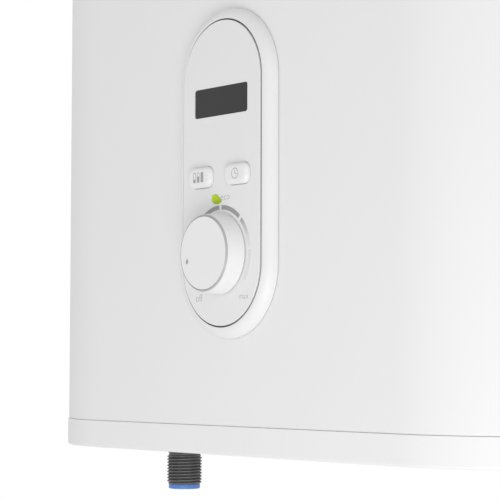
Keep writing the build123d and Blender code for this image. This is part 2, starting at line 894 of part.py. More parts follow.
def panel_face():
    """Flat face plate with openings for what shows through it."""
    low = face_top - face_plate
    plate = slab(stadium(face_radius), low, face_top)
    plate = fillet(plate.edges().group_by(Axis.Z)[-1], face_edge_round)
    plate -= slab(window_outline(fit_gap), low, face_top)
    plate -= slab(leaf(fit_gap), low, face_top)
    for side in sides.values():
        plate -= slab(button_outline(side, slide_gap), low, face_top)
    return plate - z_rod(0, knob_y, low, face_top, bushing_radius + shaft_hole_gap)


def panel_housing():
    """Tub behind the jacket that holds the control board."""
    body = slab(stadium(housing_radius), -housing_depth, -spigot_depth)
    body -= slab(stadium(housing_radius - housing_wall), housing_wall - housing_depth, -spigot_depth)
    for sx in (-1, 1):
        for sy in (-1, 1):
            body += z_rod(
                sx * board_post_x, sy * board_post_y, housing_wall - housing_depth,
                board_top - board_thickness, board_post_radius,
            )
    exit_length = housing_radius + face_straight / 2
    hole = Rot(90, 0, 0) * Cylinder(harness_radius + harness_gap, housing_wall * 4)
    return body - Pos(0, -exit_length, -harness_depth) * hole


def panel_clips():
    """Spring clips that hold the bezel behind the sheet."""
    clips = []
    for sx in (-1, 1):
        for sy in (-1, 1):
            x = sx * (housing_radius + weld_gap + clip_depth / 2)
            low = -sheet - weld_gap - clip_height
            clips.append(block(x, sy * clip_y, low, clip_depth, clip_width, clip_height))
    return clips


def control_board():
    """Printed board with its plug socket and the indicator's lamp."""
    low = board_top - board_thickness
    board = slab(stadium(housing_radius - housing_wall - board_gap), low, board_top)
    socket_y = harness_start_y + socket_width / 2
    socket = block(0, socket_y, low - socket_height, socket_width, socket_width, socket_height)
    lamp = block(leaf_x, leaf_y, board_top, led_size, led_size, led_height)
    return [board, socket, lamp]


def display_window():
    """Smoked window of the display."""
    low = face_top - face_plate
    window = slab(window_outline(0), low, face_top - display_recess)
    return window + slab(window_outline(display_flange), low - display_flange_thickness, low)


def display_module():
    """Display behind the window, standing on the board."""
    top = face_top - face_plate - display_flange_thickness - fit_gap
    return slab(window_outline(module_margin), board_top, top)


def button_outline(side, margin):
    """Rounded outline of a push button, grown by a margin."""
    width, height = 2 * (button_half_width + margin), 2 * (button_half_height + margin)
    return Pos(side * button_x, button_y) * RectangleRounded(width, height, button_corner + margin)


def push_button(side):
    """Rounded cap with a rim behind the face and a stem to its switch."""
    back = face_top - face_plate
    flange_high = back - fit_gap
    flange_low = flange_high - button_flange
    plunger_top = board_top + switch_height + plunger_proud
    cap = slab(button_outline(side, 0), flange_low, face_top + button_proud)
    cap = fillet(cap.edges().group_by(Axis.Z)[-1], button_round)
    cap += slab(button_outline(side, button_rim), flange_low, flange_high)
    return cap + z_rod(side * button_x, button_y, plunger_top, flange_low, button_stem_radius)


def switch_plunger(side):
    """Moving pin of a push switch."""
    low = board_top + switch_height - plunger_seat + button_travel
    high = board_top + switch_height + plunger_proud
    return z_rod(side * button_x, button_y, low, high, plunger_radius)


def button_switches():
    """Bodies of the two push switches."""
    bodies = []
    for side in sides.values():
        x = side * button_x
        body = block(x, button_y, board_top, switch_width, switch_width, switch_height)
        well = board_top + switch_height - plunger_seat - fit_gap
        bodies.append(body - z_rod(x, button_y, well, board_top + switch_height, plunger_radius + run_gap))
    return bodies


def eco_indicator():
    """Green leaf-shaped lens with its light guide down to the lamp."""
    low = face_top - face_plate
    lens = slab(leaf(0), low, face_top + leaf_proud)
    lens += slab(leaf(leaf_flange), low - leaf_flange, low)
    guide = block(
        leaf_x, leaf_y, board_top + led_height + fit_gap, led_size, led_size,
        low - leaf_flange - board_top - led_height - fit_gap,
    )
    return lens + guide


def rotary_encoder():
    """Encoder body and its bushing."""
    body = block(0, knob_y, board_top, encoder_width, encoder_width, encoder_height)
    body += z_rod(0, knob_y, board_top + encoder_height, face_top, bushing_radius)
    return body - z_rod(0, knob_y, shaft_foot - fit_gap, face_top, shaft_radius + run_gap)


def shaft_shape(growth, low, high):
    """Round shaft with a flat near its tip."""
    bar = z_rod(0, knob_y, low, high, shaft_radius + growth)
    flat_y = knob_y + shaft_radius - shaft_flat + growth
    flat_low = shaft_tip - shaft_flat_length
    size = 2 * shaft_radius
    return bar - block(0, flat_y + shaft_radius, flat_low, 2 * size, size, shaft_flat_length + fit_gap)


def knob_shaft():
    """Turning shaft of the encoder."""
    return shaft_shape(0, shaft_foot, shaft_tip)


def temperature_knob():
    """Hollow knob with a hub that fits the shaft and an index dimple."""
    front = face_top + knob_height
    low = face_top + knob_lift
    body = Pos(0, knob_y, (low + front) / 2) * Cone(knob_base_radius, knob_front_radius, front - low)
    hollow_top = front - knob_front_wall
    hollow = Cone(knob_base_radius - knob_wall, knob_front_radius - knob_wall, hollow_top - low)
    body -= Pos(0, knob_y, (low + hollow_top) / 2) * hollow
    hub_low = face_top + knob_lift
    body += z_rod(0, knob_y, hub_low, hollow_top, knob_hub_radius)
    body -= z_rod(0, knob_y, hub_low, shaft_tip - shaft_flat_length, shaft_radius + run_gap)
    body -= shaft_shape(run_gap, shaft_tip - shaft_flat_length, shaft_tip + fit_gap)
    body -= knob_trim_space(weld_gap)
    angle = math.radians(dimple_angle)
    x, y = dimple_orbit * math.cos(angle), knob_y + dimple_orbit * math.sin(angle)
    ball = (dimple_radius**2 + dimple_depth**2) / (2 * dimple_depth)
    return body - Pos(x, y, front - dimple_depth + ball) * Sphere(ball)


def knob_trim_space(gap):
    """Ring on the front edge of the knob that the trim fills."""
    front = face_top + knob_height
    taper = (knob_base_radius - knob_front_radius) / (knob_height - knob_lift)
    low = front - knob_trim_depth - gap
    outer = knob_front_radius + knob_trim_depth * taper
    points = [
        (knob_front_radius - knob_trim_width - gap, low),
        (outer + gap * taper, low),
        (knob_front_radius, front),
        (knob_front_radius - knob_trim_width - gap, front),
    ]
    return Pos(0, knob_y, 0) * turned(points)


def knob_trim_ring():
    """Grey bevelled ring set into the front edge of the knob."""
    front = face_top + knob_height
    low = front - knob_trim_depth
    points = [
        (knob_front_radius - knob_trim_width, low),
        (knob_front_radius, low),
        (knob_front_radius - knob_trim_width, front),
    ]
    return Pos(0, knob_y, 0) * turned(points)


# Boards and wiring in the compartment
def board_standoffs():
    """Posts that hang the power board from the compartment plate."""
    posts = []
    for sx in (-1, 1):
        for sy in (-1, 1):
            x = sx * (power_board_width / 2 - standoff_inset)
            y = y_mid + sy * (power_board_depth / 2 - standoff_inset)
            posts.append(z_rod(x, y, z_power_board, z_plate - plate_sheet, standoff_radius))
    return posts


def power_board():
    """Mains board that switches the elements, with the panel's plug socket."""
    low = z_power_board - board_thickness
    socket_y = y_power_front + socket_depth / 2
    board = block(0, y_mid, low, power_board_width, power_board_depth, board_thickness)
    socket = block(0, socket_y, z_power_board, socket_width, socket_depth, socket_height)
    return [board, socket]


def power_relays():
    """Relays on the power board, one for each element."""
    return [
        block(side * relay_x, y_mid + relay_depth / 2, z_power_board, relay_width, relay_depth, relay_height)
        for side in sides.values()
    ]


def terminal_block():
    """Screw terminals under the power board."""
    low = z_power_board - board_thickness - terminal_block_height
    y = y_mid + element_depth_offset
    return block(0, y, low, terminal_block_width, terminal_block_depth, terminal_block_height)


def element_leads():
    """Wires from the terminal block to the heating elements."""
    z_pin = z_flange - terminal_radius - terminal_length
    z_run = z_pin - lead_drop
    y = y_mid + element_depth_offset
    end_x = terminal_block_width / 2
    wires = []
    for side in sides.values():
        inner = side * (tank_x - element_leg_offset)
        outer = side * (tank_x + element_leg_offset)
        step = outer - side * 2 * lead_shift
        near = [(inner, y, z_pin), (inner, y, z_run), (side * end_x, y, z_run)]
        far = [
            (outer, y, z_pin), (outer, y, z_run), (step, y + lead_shift, z_run),
            (side * end_x, y + lead_shift, z_run),
        ]
        wires.append(swept(Circle(lead_radius), near, lead_bend))
        wires.append(swept(Circle(lead_radius), far, lead_bend))
    return wires


def panel_harness():
    """Cable from the control board down to the power board."""
    y = y_front + harness_depth
    points = [(0, y, z_panel + harness_start_y), (0, y, z_harness), (0, y_power_front, z_harness)]
    return swept(Circle(harness_radius), points, harness_bend)


# Every piece of the heater, by name
nodes = {
    "outer_jacket": outer_jacket(),
    "top_cap": top_cap(),
    "bottom_cap": bottom_cap(),
    "service_cover": service_cover(),
    "casing_screws": casing_screws(),
    "upper_bracket": wall_bracket(1),
    "lower_bracket": wall_bracket(-1),
    "hanger_rails": hanger_rails(),
    "bracket_bolts": bracket_bolts(),
    "foam_insulation": foam_insulation(),
    "top_insulation_pad": top_insulation_pad(),
    "compartment_plate": compartment_plate(),
    "left_tank": tank(sides["left"]),
    "right_tank": tank(sides["right"]),
    "transfer_pipe": transfer_pipe(),
    "cold_inlet_nipple": nipple(sides["left"]),
    "hot_outlet_nipple": nipple(sides["right"]),
    "cold_inlet_sleeve": sleeve(sides["left"]),
    "hot_outlet_sleeve": sleeve(sides["right"]),
    "inlet_diffuser": inlet_diffuser(),
    "hot_outlet_standpipe": hot_outlet_standpipe(),
    "left_flange": flange(sides["left"]),
    "right_flange": flange(sides["right"]),
    "flange_gaskets": flange_gaskets(),
    "flange_bolts": flange_bolts(),
    "left_heating_element": heating_element(sides["left"]),
    "right_heating_element": heating_element(sides["right"]),
    "anodes": anodes(),
    "anode_nuts": anode_nuts(),
    "thermowells": thermowells(),
    "safety_thermostat": safety_thermostat(),
    "thermostat_reset_button": thermostat_reset_button(),
    "temperature_sensor": temperature_sensor(),
    "board_standoffs": board_standoffs(),
    "power_board": power_board(),
    "power_relays": power_relays(),
    "terminal_block": terminal_block(),
    "element_leads": element_leads(),
    "panel_harness": panel_harness(),
    "cable_gland": cable_gland(),
    "panel_bezel": panel * panel_bezel(),
    "panel_trim_ring": panel * panel_trim_ring(),
    "panel_face": panel * panel_face(),
    "panel_housing": panel * panel_housing(),
    "panel_clips": [panel * clip for clip in panel_clips()],
    "control_board": [panel * piece for piece in control_board()],
    "display_window": panel * display_window(),
    "display_module": panel * display_module(),
    "left_button": panel * push_button(sides["left"]),
    "right_button": panel * push_button(sides["right"]),
    "left_switch_plunger": panel * switch_plunger(sides["left"]),
    "right_switch_plunger": panel * switch_plunger(sides["right"]),
    "button_switches": [panel * body for body in button_switches()],
    "eco_indicator": panel * eco_indicator(),
    "rotary_encoder": panel * rotary_encoder(),
    "knob_shaft": panel * knob_shaft(),
    "temperature_knob": panel * temperature_knob(),
    "knob_trim_ring": panel * knob_trim_ring(),
}

os.makedirs("parts", exist_ok=True)
for name, shape in nodes.items():
    solids = shape if isinstance(shape, list) else [shape]
    pieces = [solid for piece in solids for solid in piece.solids()]
    export_step(Compound(children=pieces), os.path.join("parts", name + ".step"))
print(len(nodes), "nodes; overall height", overall_height, "width", jacket_width, "depth", jacket_depth)
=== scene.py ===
import math

import bmesh
import bpy
from mathutils import Matrix, Vector


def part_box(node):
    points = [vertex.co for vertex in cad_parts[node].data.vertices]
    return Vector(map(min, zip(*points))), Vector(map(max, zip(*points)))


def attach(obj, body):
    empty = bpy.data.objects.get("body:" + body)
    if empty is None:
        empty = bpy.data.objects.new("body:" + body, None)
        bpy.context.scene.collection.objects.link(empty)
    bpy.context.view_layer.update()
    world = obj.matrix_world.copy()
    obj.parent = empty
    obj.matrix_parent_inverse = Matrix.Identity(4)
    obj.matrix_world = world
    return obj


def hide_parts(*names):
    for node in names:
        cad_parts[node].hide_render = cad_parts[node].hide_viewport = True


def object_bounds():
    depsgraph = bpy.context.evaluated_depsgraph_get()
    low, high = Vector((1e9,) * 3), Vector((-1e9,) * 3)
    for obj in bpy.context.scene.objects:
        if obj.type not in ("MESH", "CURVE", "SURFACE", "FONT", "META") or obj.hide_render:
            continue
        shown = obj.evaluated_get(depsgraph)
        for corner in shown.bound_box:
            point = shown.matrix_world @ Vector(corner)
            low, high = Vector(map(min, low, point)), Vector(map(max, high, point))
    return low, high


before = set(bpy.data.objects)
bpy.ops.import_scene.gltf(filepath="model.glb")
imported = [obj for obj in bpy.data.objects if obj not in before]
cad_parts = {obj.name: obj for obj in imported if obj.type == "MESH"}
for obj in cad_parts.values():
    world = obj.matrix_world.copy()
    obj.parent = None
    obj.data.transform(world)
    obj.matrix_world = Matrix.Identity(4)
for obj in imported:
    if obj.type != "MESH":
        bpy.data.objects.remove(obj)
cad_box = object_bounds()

# Flat wall-hung water heater: finished skins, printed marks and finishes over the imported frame.
# Metres and degrees. +X is right as seen from the front, +Y is towards the wall and +Z is up.
MM = 0.001
HOLD = 1.5 * MM            # from a rounding to the points that keep the flat beside it flat
HAIR_GAP = 0.05 * MM       # between pieces that seem to touch
PAST = 1.0 * MM            # by which a cutting shape runs past what it cuts
SHARP_ANGLE = 32           # above which an edge is drawn sharp
ROUND_STEPS = 96
HEXAGON_SOFT = 0.06        # rounding of a hexagon's corners, of its radius


# Places taken from the frame
def middle(node, axis):
    """Middle of a node along one axis."""
    low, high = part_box(node)
    return (low[axis] + high[axis]) / 2


def half_size(node, axis):
    """Half the size of a node along one axis."""
    low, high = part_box(node)
    return (high[axis] - low[axis]) / 2


def right_end(node):
    """How far a node reaches to the right of the heater's middle."""
    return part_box(node)[1][0]


# Casing
CAP_PROUD = 0.6 * MM
CAP_ROUND = 1.5 * MM
CAP_FLOOR = 3.0 * MM
RIM_ROUND = 0.2 * MM
CASING_CORNER = 86.0 * MM
SHEET = 0.8 * MM
SHEET_ROUND = 0.2 * MM
SEAM_CLOSE = 0.58 * MM     # by which the sheet comes nearer to the caps than the solid sheet does
LIP_OUTER = -1.0 * MM      # faces of the caps' lips, from the outside of the sheet
LIP_INNER = -3.0 * MM
LIP_HEIGHT = 14.0 * MM
LOCK_SEAM_WIDTH = 9.0 * MM
LOCK_SEAM_ROUND = 0.6      # of the seam's height

cap_low, cap_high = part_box("bottom_cap")
sheet_low, sheet_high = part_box("outer_jacket")
floor_z = cap_low[2]
roof_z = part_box("top_cap")[1][2]
rim_height = cap_high[2] - floor_z - LIP_HEIGHT
casing_half_x = cap_high[0] - CAP_PROUD
casing_half_y = half_size("bottom_cap", 1) - CAP_PROUD
casing_mid_y = middle("bottom_cap", 1)
front_y = casing_mid_y - casing_half_y
back_y = casing_mid_y + casing_half_y


def panel_depths(node):
    """Back and front of a node, measured out of the front of the jacket."""
    low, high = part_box(node)
    return front_y - high[1], front_y - low[1]


def panel_spot(node):
    """Middle of a node on the panel's own axes."""
    return middle(node, 0), middle(node, 2) - panel_z


# Control panel, on its own axes: u to the right, v up, w out of the front of the jacket
PANEL_GROOVE = 0.8 * MM
FIT_GAP = 0.2 * MM
INK = 0.03 * MM
LEAF_SPOT = (-3.25 * MM, -14.5 * MM)
LEAF_TILT = -17.0
DIAL_FADE = (53, 16)       # angles between which the dial turns from dark to pale

panel_z = middle("panel_face", 2)
face_radius = right_end("panel_face")
face_straight = 2 * (half_size("panel_face", 2) - face_radius)
face_back, face_top = panel_depths("panel_face")
bezel_inner = right_end("panel_trim_ring") + HAIR_GAP
face_edge = bezel_inner - PANEL_GROOVE
knob_spot = panel_spot("temperature_knob")


def on_casing(u, v, w):
    """A point of the casing from its plan and its height."""
    return Vector((u, casing_mid_y + v, w))


def on_panel(u, v, w):
    """A point of the control panel."""
    return Vector((u, front_y - w, panel_z + v))


def on_panel_at(spot):
    """Places points round a spot on the control panel."""
    return lambda u, v, w: on_panel(spot[0] + u, spot[1] + v, w)


def on_axis(x, y):
    """Places points round an upright axis."""
    return lambda u, v, w: Vector((x + u, y + v, w))


def on_back(x, z):
    """Places points round an axis that runs towards the wall."""
    return lambda u, v, w: Vector((x + u, w, z + v))


# Outlines and skins
def rounded(corners, closed=True, hold=0.0, step=6.0):
    """Points along corners given as x, y and radius, with a holding point beside each arc."""
    points = []
    last = len(corners) - 1
    for i, (x, y, radius) in enumerate(corners):
        here = Vector((x, y))
        if radius == 0 or (not closed and i in (0, last)):
            points.append(here)
            continue
        back = (Vector(corners[i - 1][:2]) - here).normalized()
        ahead = (Vector(corners[(i + 1) % (last + 1)][:2]) - here).normalized()
        turn = math.pi - back.angle(ahead)
        reach = radius * math.tan(turn / 2)
        centre = here + (back + ahead).normalized() * radius / math.cos(turn / 2)
        arm = here + back * reach - centre
        way = 1 if back.x * ahead.y - back.y * ahead.x < 0 else -1
        count = max(3, math.ceil(math.degrees(turn) / step))
        if hold:
            points.append(here + back * (reach + hold))
        for k in range(count + 1):
            points.append(centre + Matrix.Rotation(way * turn * k / count, 2) @ arm)
        if hold:
            points.append(here + ahead * (reach + hold))
    return [(p.x, p.y) for p in points]


def rectangle(half_x, half_y, radius=0.0, hold=0.0, step=6.0):
    """Rectangle about its centre, with round corners if it has a radius."""
    corners = [(half_x, -half_y, radius), (half_x, half_y, radius)]
    corners += [(-half_x, half_y, radius), (-half_x, -half_y, radius)]
    return rounded(corners, hold=hold, step=step)


def casing_outline(offset):
    """Plan of the casing, grown by an offset."""
    return rectangle(casing_half_x + offset, casing_half_y + offset, CASING_CORNER + offset, HOLD, 3.0)


def stadium(radius):
    """Upright round-ended outline of the panel."""
    half = face_straight / 2
    points = []
    for centre, start in ((half, 0), (-half, 180)):
        sign = 1 if centre > 0 else -1
        points.append((sign * radius, centre - sign * HOLD))
        for angle in range(start, start + 181, 3):
            turn = math.radians(angle)
            points.append((radius * math.cos(turn), centre + radius * math.sin(turn)))
        points.append((-sign * radius, centre - sign * HOLD))
    return points


def circle(radius, count=ROUND_STEPS):
    """Round outline."""
    turns = [2 * math.pi * k / count for k in range(count)]
    return [(radius * math.cos(t), radius * math.sin(t)) for t in turns]


def hexagon(radius):
    """Six-sided outline with softened corners, its corners on a radius."""
    return rounded([(u, v, HEXAGON_SOFT * radius) for u, v in circle(radius, 6)], step=15)


def shifted(outline, spot):
    """An outline moved to a spot."""
    return [(u + spot[0], v + spot[1]) for u, v in outline]


def loop(place, outline, w):
    """An outline at one level of a place."""
    return [place(u, v, w) for u, v in outline]


def skin(loops, hollow=False):
    """Closed skin through loops of points, with its ends filled or, if hollow, joined to each other."""
    count = len(loops[0])
    points = [p for ring in loops for p in ring]
    faces = []
    for i in range(len(loops) if hollow else len(loops) - 1):
        a, b = i * count, (i + 1) % len(loops) * count
        faces += [(a + k, a + (k + 1) % count, b + (k + 1) % count, b + k) for k in range(count)]
    if not hollow:
        faces.append(tuple(range(count)))
        faces.append(tuple(range(len(points) - count, len(points))))
    return points, faces


def stack(place, outline, profile, hollow=False):
    """Closed skin through one kind of outline at each size and level of a profile."""
    return skin([loop(place, outline(size), w) for size, w in profile], hollow)


def prism(place, outline, low, high):
    """Straight bar between two levels."""
    return skin([loop(place, outline, low), loop(place, outline, high)])


# Objects
def written(build, name):
    """A mesh from one in the making."""
    mesh = bpy.data.meshes.new(name)
    build.to_mesh(mesh)
    build.free()
    return mesh


def raw_mesh(name, shells):
    """One mesh from closed skins, with its faces turned outwards."""
    build = bmesh.new()
    for points, faces in shells:
        corners = [build.verts.new(p) for p in points]
        for face in faces:
            build.faces.new([corners[i] for i in face])
    bmesh.ops.recalc_face_normals(build, faces=build.faces)
    return written(build, name)


def place_object(name, data):
    """A new object in the scene."""
    thing = bpy.data.objects.new(name, data)
    bpy.context.scene.collection.objects.link(thing)
    return thing


def plain_mesh(thing):
    """Final shape of an object as a mesh of its own."""
    graph = bpy.context.evaluated_depsgraph_get()
    return bpy.data.meshes.new_from_object(thing.evaluated_get(graph))


def settle(thing):
    """Turns an object's modifiers into plain mesh."""
    mesh = plain_mesh(thing)
    thing.modifiers.clear()
    thing.data = mesh


def combine(thing, shell, operation):
    """Adds a closed skin to an object, takes it out of it or keeps what lies inside it."""
    tool = place_object("tool", raw_mesh("tool", [shell]))
    step = thing.modifiers.new("tool", "BOOLEAN")
    step.operation = operation
    step.solver = "EXACT"
    step.object = tool
    settle(thing)
    bpy.data.objects.remove(tool)


def form(name, shells, cuts=()):
    """A new object from closed skins, less other closed skins."""
    thing = place_object(name, raw_mesh(name, shells))
    for shell in cuts:
        combine(thing, shell, "DIFFERENCE")
    return thing


def join_objects(name, things):
    """One object with the meshes of several, which are taken away."""
    build = bmesh.new()
    for thing in things:
        build.from_mesh(thing.data)
        bpy.data.objects.remove(thing)
    return place_object(name, written(build, name))


def finish_piece(thing, slot, node=None, body="heater", finish=None):
    """Gives a finished object its material and its body, and hides the node that it stands for."""
    mesh = thing.data
    mesh.polygons.foreach_set("use_smooth", [True] * len(mesh.polygons))
    mesh.set_sharp_from_angle(angle=math.radians(SHARP_ANGLE))
    mesh.materials.clear()
    mesh.materials.append(finish or FINISHES[slot])
    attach(thing, body)
    if node:
        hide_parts(node)


def make(name, shells, slot, node=None, body="heater", cuts=(), finish=None):
    """A finished piece from closed skins, less other closed skins."""
    finish_piece(form(name, shells, cuts), slot, node, body, finish)


# Node graphs
class Value:
    """A socket whose arithmetic adds Math nodes."""

    def __init__(self, graph, socket):
        self.graph = graph
        self.socket = socket

    def __add__(self, other):
        return self.graph.math("ADD", self, other)

    def __sub__(self, other):
        return self.graph.math("SUBTRACT", self, other)

    def __rsub__(self, other):
        return self.graph.math("SUBTRACT", other, self)

    def __mul__(self, other):
        return self.graph.math("MULTIPLY", self, other)

    __radd__ = __add__
    __rmul__ = __mul__


class Graph:
    """A node tree that is written as expressions."""

    def __init__(self, tree):
        self.tree = tree

    def node(self, kind, settings=None, inputs=None, output=0):
        """Adds a node, sets it up and returns one of its outputs."""
        new = self.tree.nodes.new(kind)
        for name, value in (settings or {}).items():
            setattr(new, name, value)
        for name, value in (inputs or {}).items():
            if isinstance(value, Value):
                self.tree.links.new(value.socket, new.inputs[name])
            else:
                new.inputs[name].default_value = value
        return Value(self, new.outputs[output]) if len(new.outputs) else new

    def math(self, operation, *values):
        """Adds a Math node."""
        return self.node("ShaderNodeMath", {"operation": operation}, dict(enumerate(values)))


class Finish(Graph):
    """One material, with its places taken from the piece's own coordinates."""

    def __init__(self, name):
        self.material = bpy.data.materials.new(name)
        self.material.use_nodes = True
        super().__init__(self.material.node_tree)
        self.tree.nodes.clear()
        self.place = self.node("ShaderNodeTexCoord", output="Object")

    def noise(self, scale, detail=3.0, stretch=None):
        """Cloudy value between 0 and 1, with features one over the scale apart."""
        place = self.place
        if stretch:
            place = self.node("ShaderNodeMapping", {}, {"Vector": place, "Scale": stretch})
        return self.node("ShaderNodeTexNoise", {}, {"Vector": place, "Scale": scale, "Detail": detail})

    def from_spot(self, spot, turn=0.0):
        """Distances to the right of a spot on the panel's face and above it, on turned axes."""
        centre = tuple(on_panel(*spot, face_top))
        moved = self.node("ShaderNodeVectorMath", {"operation": "SUBTRACT"}, {0: self.place, 1: centre})
        angles = (0.0, math.radians(-turn), 0.0)
        turned = self.node("ShaderNodeMapping", {}, {"Vector": moved, "Rotation": angles})
        return [self.node("ShaderNodeSeparateXYZ", {}, {"Vector": turned}, axis) for axis in "XZ"]

    def mix(self, factor, first, second):
        """Colour between two colours."""
        return self.node("ShaderNodeMix", {"data_type": "RGBA"}, {0: factor, 6: first, 7: second}, 2)

    def limit(self, value, low, high):
        """A value's range between two limits, stretched to 0 and 1."""
        return self.node("ShaderNodeMapRange", {"clamp": True}, {0: value, 1: low, 2: high})

    def bump(self, height, depth, strength):
        """Normal of a surface with a fine relief of a real depth."""
        return self.node("ShaderNodeBump", {}, {"Height": height, "Distance": depth, "Strength": strength})

    def close(self, **sockets):
        """Principled surface, whose socket names are written with underscores."""
        inputs = {name.replace("_", " "): value for name, value in sockets.items()}
        surface = self.node("ShaderNodeBsdfPrincipled", {}, inputs)
        self.node("ShaderNodeOutputMaterial", {}, {"Surface": surface})
        return self.material


def grey(level):
    """Neutral colour."""
    return (level, level, level, 1.0)


def shaded(colour, factor):
    """A colour made darker or lighter."""
    return tuple(c * factor for c in colour[:3]) + (1.0,)


# Finishes
def painted_sheet(name, colour, rough):
    """Stoved paint on steel, with a faint orange peel."""
    finish = Finish(name)
    cloud = finish.noise(9.0, 2.0)
    peel = finish.noise(420.0, 2.0) + finish.noise(1500.0, 1.0) * 0.25
    return finish.close(
        Base_Color=finish.mix(cloud, shaded(colour, 0.985), shaded(colour, 1.01)),
        Roughness=rough + cloud * 0.05,
        Normal=finish.bump(peel, 0.012 * MM, 0.5),
    )


def moulded_plastic(name, colour, rough, grain=2600.0, depth=0.006 * MM, coat=0.0):
    """Injection-moulded plastic with a fine spark-eroded grain."""
    finish = Finish(name)
    cloud = finish.noise(14.0, 2.0)
    fine = finish.noise(grain, 2.0)
    return finish.close(
        Base_Color=finish.mix(cloud, shaded(colour, 0.98), shaded(colour, 1.012)),
        Roughness=rough + fine * 0.06,
        Normal=finish.bump(fine, depth, 0.6),
        Coat_Weight=coat,
        Coat_Roughness=0.08,
    )


def plain_metal(name, colour, rough, brush=(1.0, 1.0, 1.0), depth=0.008 * MM):
    """Bare or plated metal with a drawn or rolled surface."""
    finish = Finish(name)
    cloud = finish.noise(60.0, 4.0)
    lines = finish.noise(900.0, 3.0, brush)
    return finish.close(
        Base_Color=finish.mix(cloud, shaded(colour, 0.82), shaded(colour, 1.08)),
        Metallic=1.0,
        Roughness=rough + cloud * 0.14 + lines * 0.08,
        Normal=finish.bump(lines, depth, 0.5),
    )


def galvanised_steel(name):
    """Hot-dipped sheet with its crystal flakes."""
    finish = Finish(name)
    flakes = finish.node("ShaderNodeTexVoronoi", {}, {"Vector": finish.place, "Scale": 140.0}, "Color")
    tone = finish.node("ShaderNodeSeparateColor", {}, {0: flakes})
    dust = finish.noise(700.0, 4.0)
    return finish.close(
        Base_Color=finish.mix(tone * 0.7 + dust * 0.3, (0.47, 0.49, 0.51, 1), (0.66, 0.68, 0.69, 1)),
        Metallic=0.95,
        Roughness=0.30 + tone * 0.14 + dust * 0.08,
        Normal=finish.bump(dust, 0.01 * MM, 0.4),
    )


def threaded_steel(name):
    """Blackened steel of the water connections, worn on the crests."""
    finish = Finish(name)
    cloud = finish.noise(160.0, 4.0)
    turning = finish.noise(500.0, 3.0, (0.25, 0.25, 3.0))
    pointed = finish.node("ShaderNodeNewGeometry", output="Pointiness")
    wear = finish.limit(pointed, 0.52, 0.62)
    body = finish.mix(cloud, (0.082, 0.082, 0.084, 1), (0.135, 0.135, 0.137, 1))
    return finish.close(
        Base_Color=finish.mix(wear * 0.5, body, grey(0.36)),
        Metallic=0.35,
        Roughness=0.34 + cloud * 0.16,
        Normal=finish.bump(turning, 0.02 * MM, 0.5),
    )


def smoked_window(name):
    """Dark display window, polished in front."""
    finish = Finish(name)
    haze = finish.noise(40.0, 3.0)
    return finish.close(
        Base_Color=finish.mix(haze, (0.011, 0.011, 0.012, 1), (0.016, 0.016, 0.017, 1)),
        Roughness=0.14 + haze * 0.06,
        Specular_IOR_Level=0.36,
        Normal=finish.bump(finish.noise(220.0, 1.0), 0.002 * MM, 0.3),
    )


def leaf_lens(name):
    """Green indicator lens, with a painted highlight that makes it paler towards its upper edge, and paler
    along its rib.
    """
    finish = Finish(name)
    along, across = finish.from_spot(LEAF_SPOT, LEAF_TILT)
    # painted highlight: the green turns paler towards the lens's upper edge
    rise = finish.limit(across, -1.2 * MM, 2.6 * MM)
    off_rib = finish.math("ABSOLUTE", across + along * 0.06)
    rib = 1 - finish.limit(off_rib, 0.10 * MM, 0.34 * MM)
    body = finish.mix(rise, (0.36, 0.53, 0.003, 1), (0.56, 0.73, 0.022, 1))
    cloud = finish.noise(900.0, 2.0)
    return finish.close(
        Base_Color=finish.mix(rib * 0.4 + cloud * 0.08, body, (0.60, 0.76, 0.05, 1)),
        Roughness=0.34 + cloud * 0.08,
        Normal=finish.bump(rib + cloud * 0.2, 0.03 * MM, 0.6),
        Specular_IOR_Level=0.2,
    )


def printed_ink(name, colour):
    """Matt printing ink with a slightly ragged cover."""
    finish = Finish(name)
    cover = finish.noise(4200.0, 2.0)
    return finish.close(
        Base_Color=finish.mix(cover, shaded(colour, 0.92), shaded(colour, 1.08)),
        Roughness=0.48 + cover * 0.1,
        Normal=finish.bump(cover, 0.004 * MM, 0.4),
    )


def dial_ink(name):
    """Ink of the dial, dark at the top and turning pale towards its lower right end."""
    finish = Finish(name)
    u, v = finish.from_spot(knob_spot)
    turn = finish.math("ARCTAN2", v, u)
    fade = finish.limit(turn, *(math.radians(angle) for angle in DIAL_FADE))
    right = finish.limit(u, -4 * MM, 0.0)
    cover = finish.noise(4200.0, 2.0)
    ink = finish.mix(fade * right, (0.30, 0.30, 0.305, 1), grey(0.74))
    return finish.close(
        Base_Color=finish.mix(cover * 0.1, ink, grey(0.8)),
        Roughness=0.46 + cover * 0.1,
        Normal=finish.bump(cover, 0.004 * MM, 0.4),
    )


def cast_foam(name):
    """Cream insulating foam with its open cells."""
    finish = Finish(name)
    cells = finish.node("ShaderNodeTexVoronoi", {}, {"Vector": finish.place, "Scale": 420.0}, "Distance")
    cloud = finish.noise(25.0, 5.0)
    return finish.close(
        Base_Color=finish.mix(cloud, (0.62, 0.50, 0.27, 1), (0.78, 0.68, 0.44, 1)),
        Roughness=0.85 + cells * 0.1,
        Normal=finish.bump(cells + cloud * 0.5, 0.6 * MM, 0.7),
    )


def soft_rubber(name, colour):
    """Matt rubber with a bloom."""
    finish = Finish(name)
    bloom = finish.noise(90.0, 5.0)
    return finish.close(
        Base_Color=finish.mix(bloom, colour, shaded(colour, 1.8)),
        Roughness=0.62 + bloom * 0.2,
        Normal=finish.bump(finish.noise(1600.0, 2.0), 0.02 * MM, 0.5),
    )


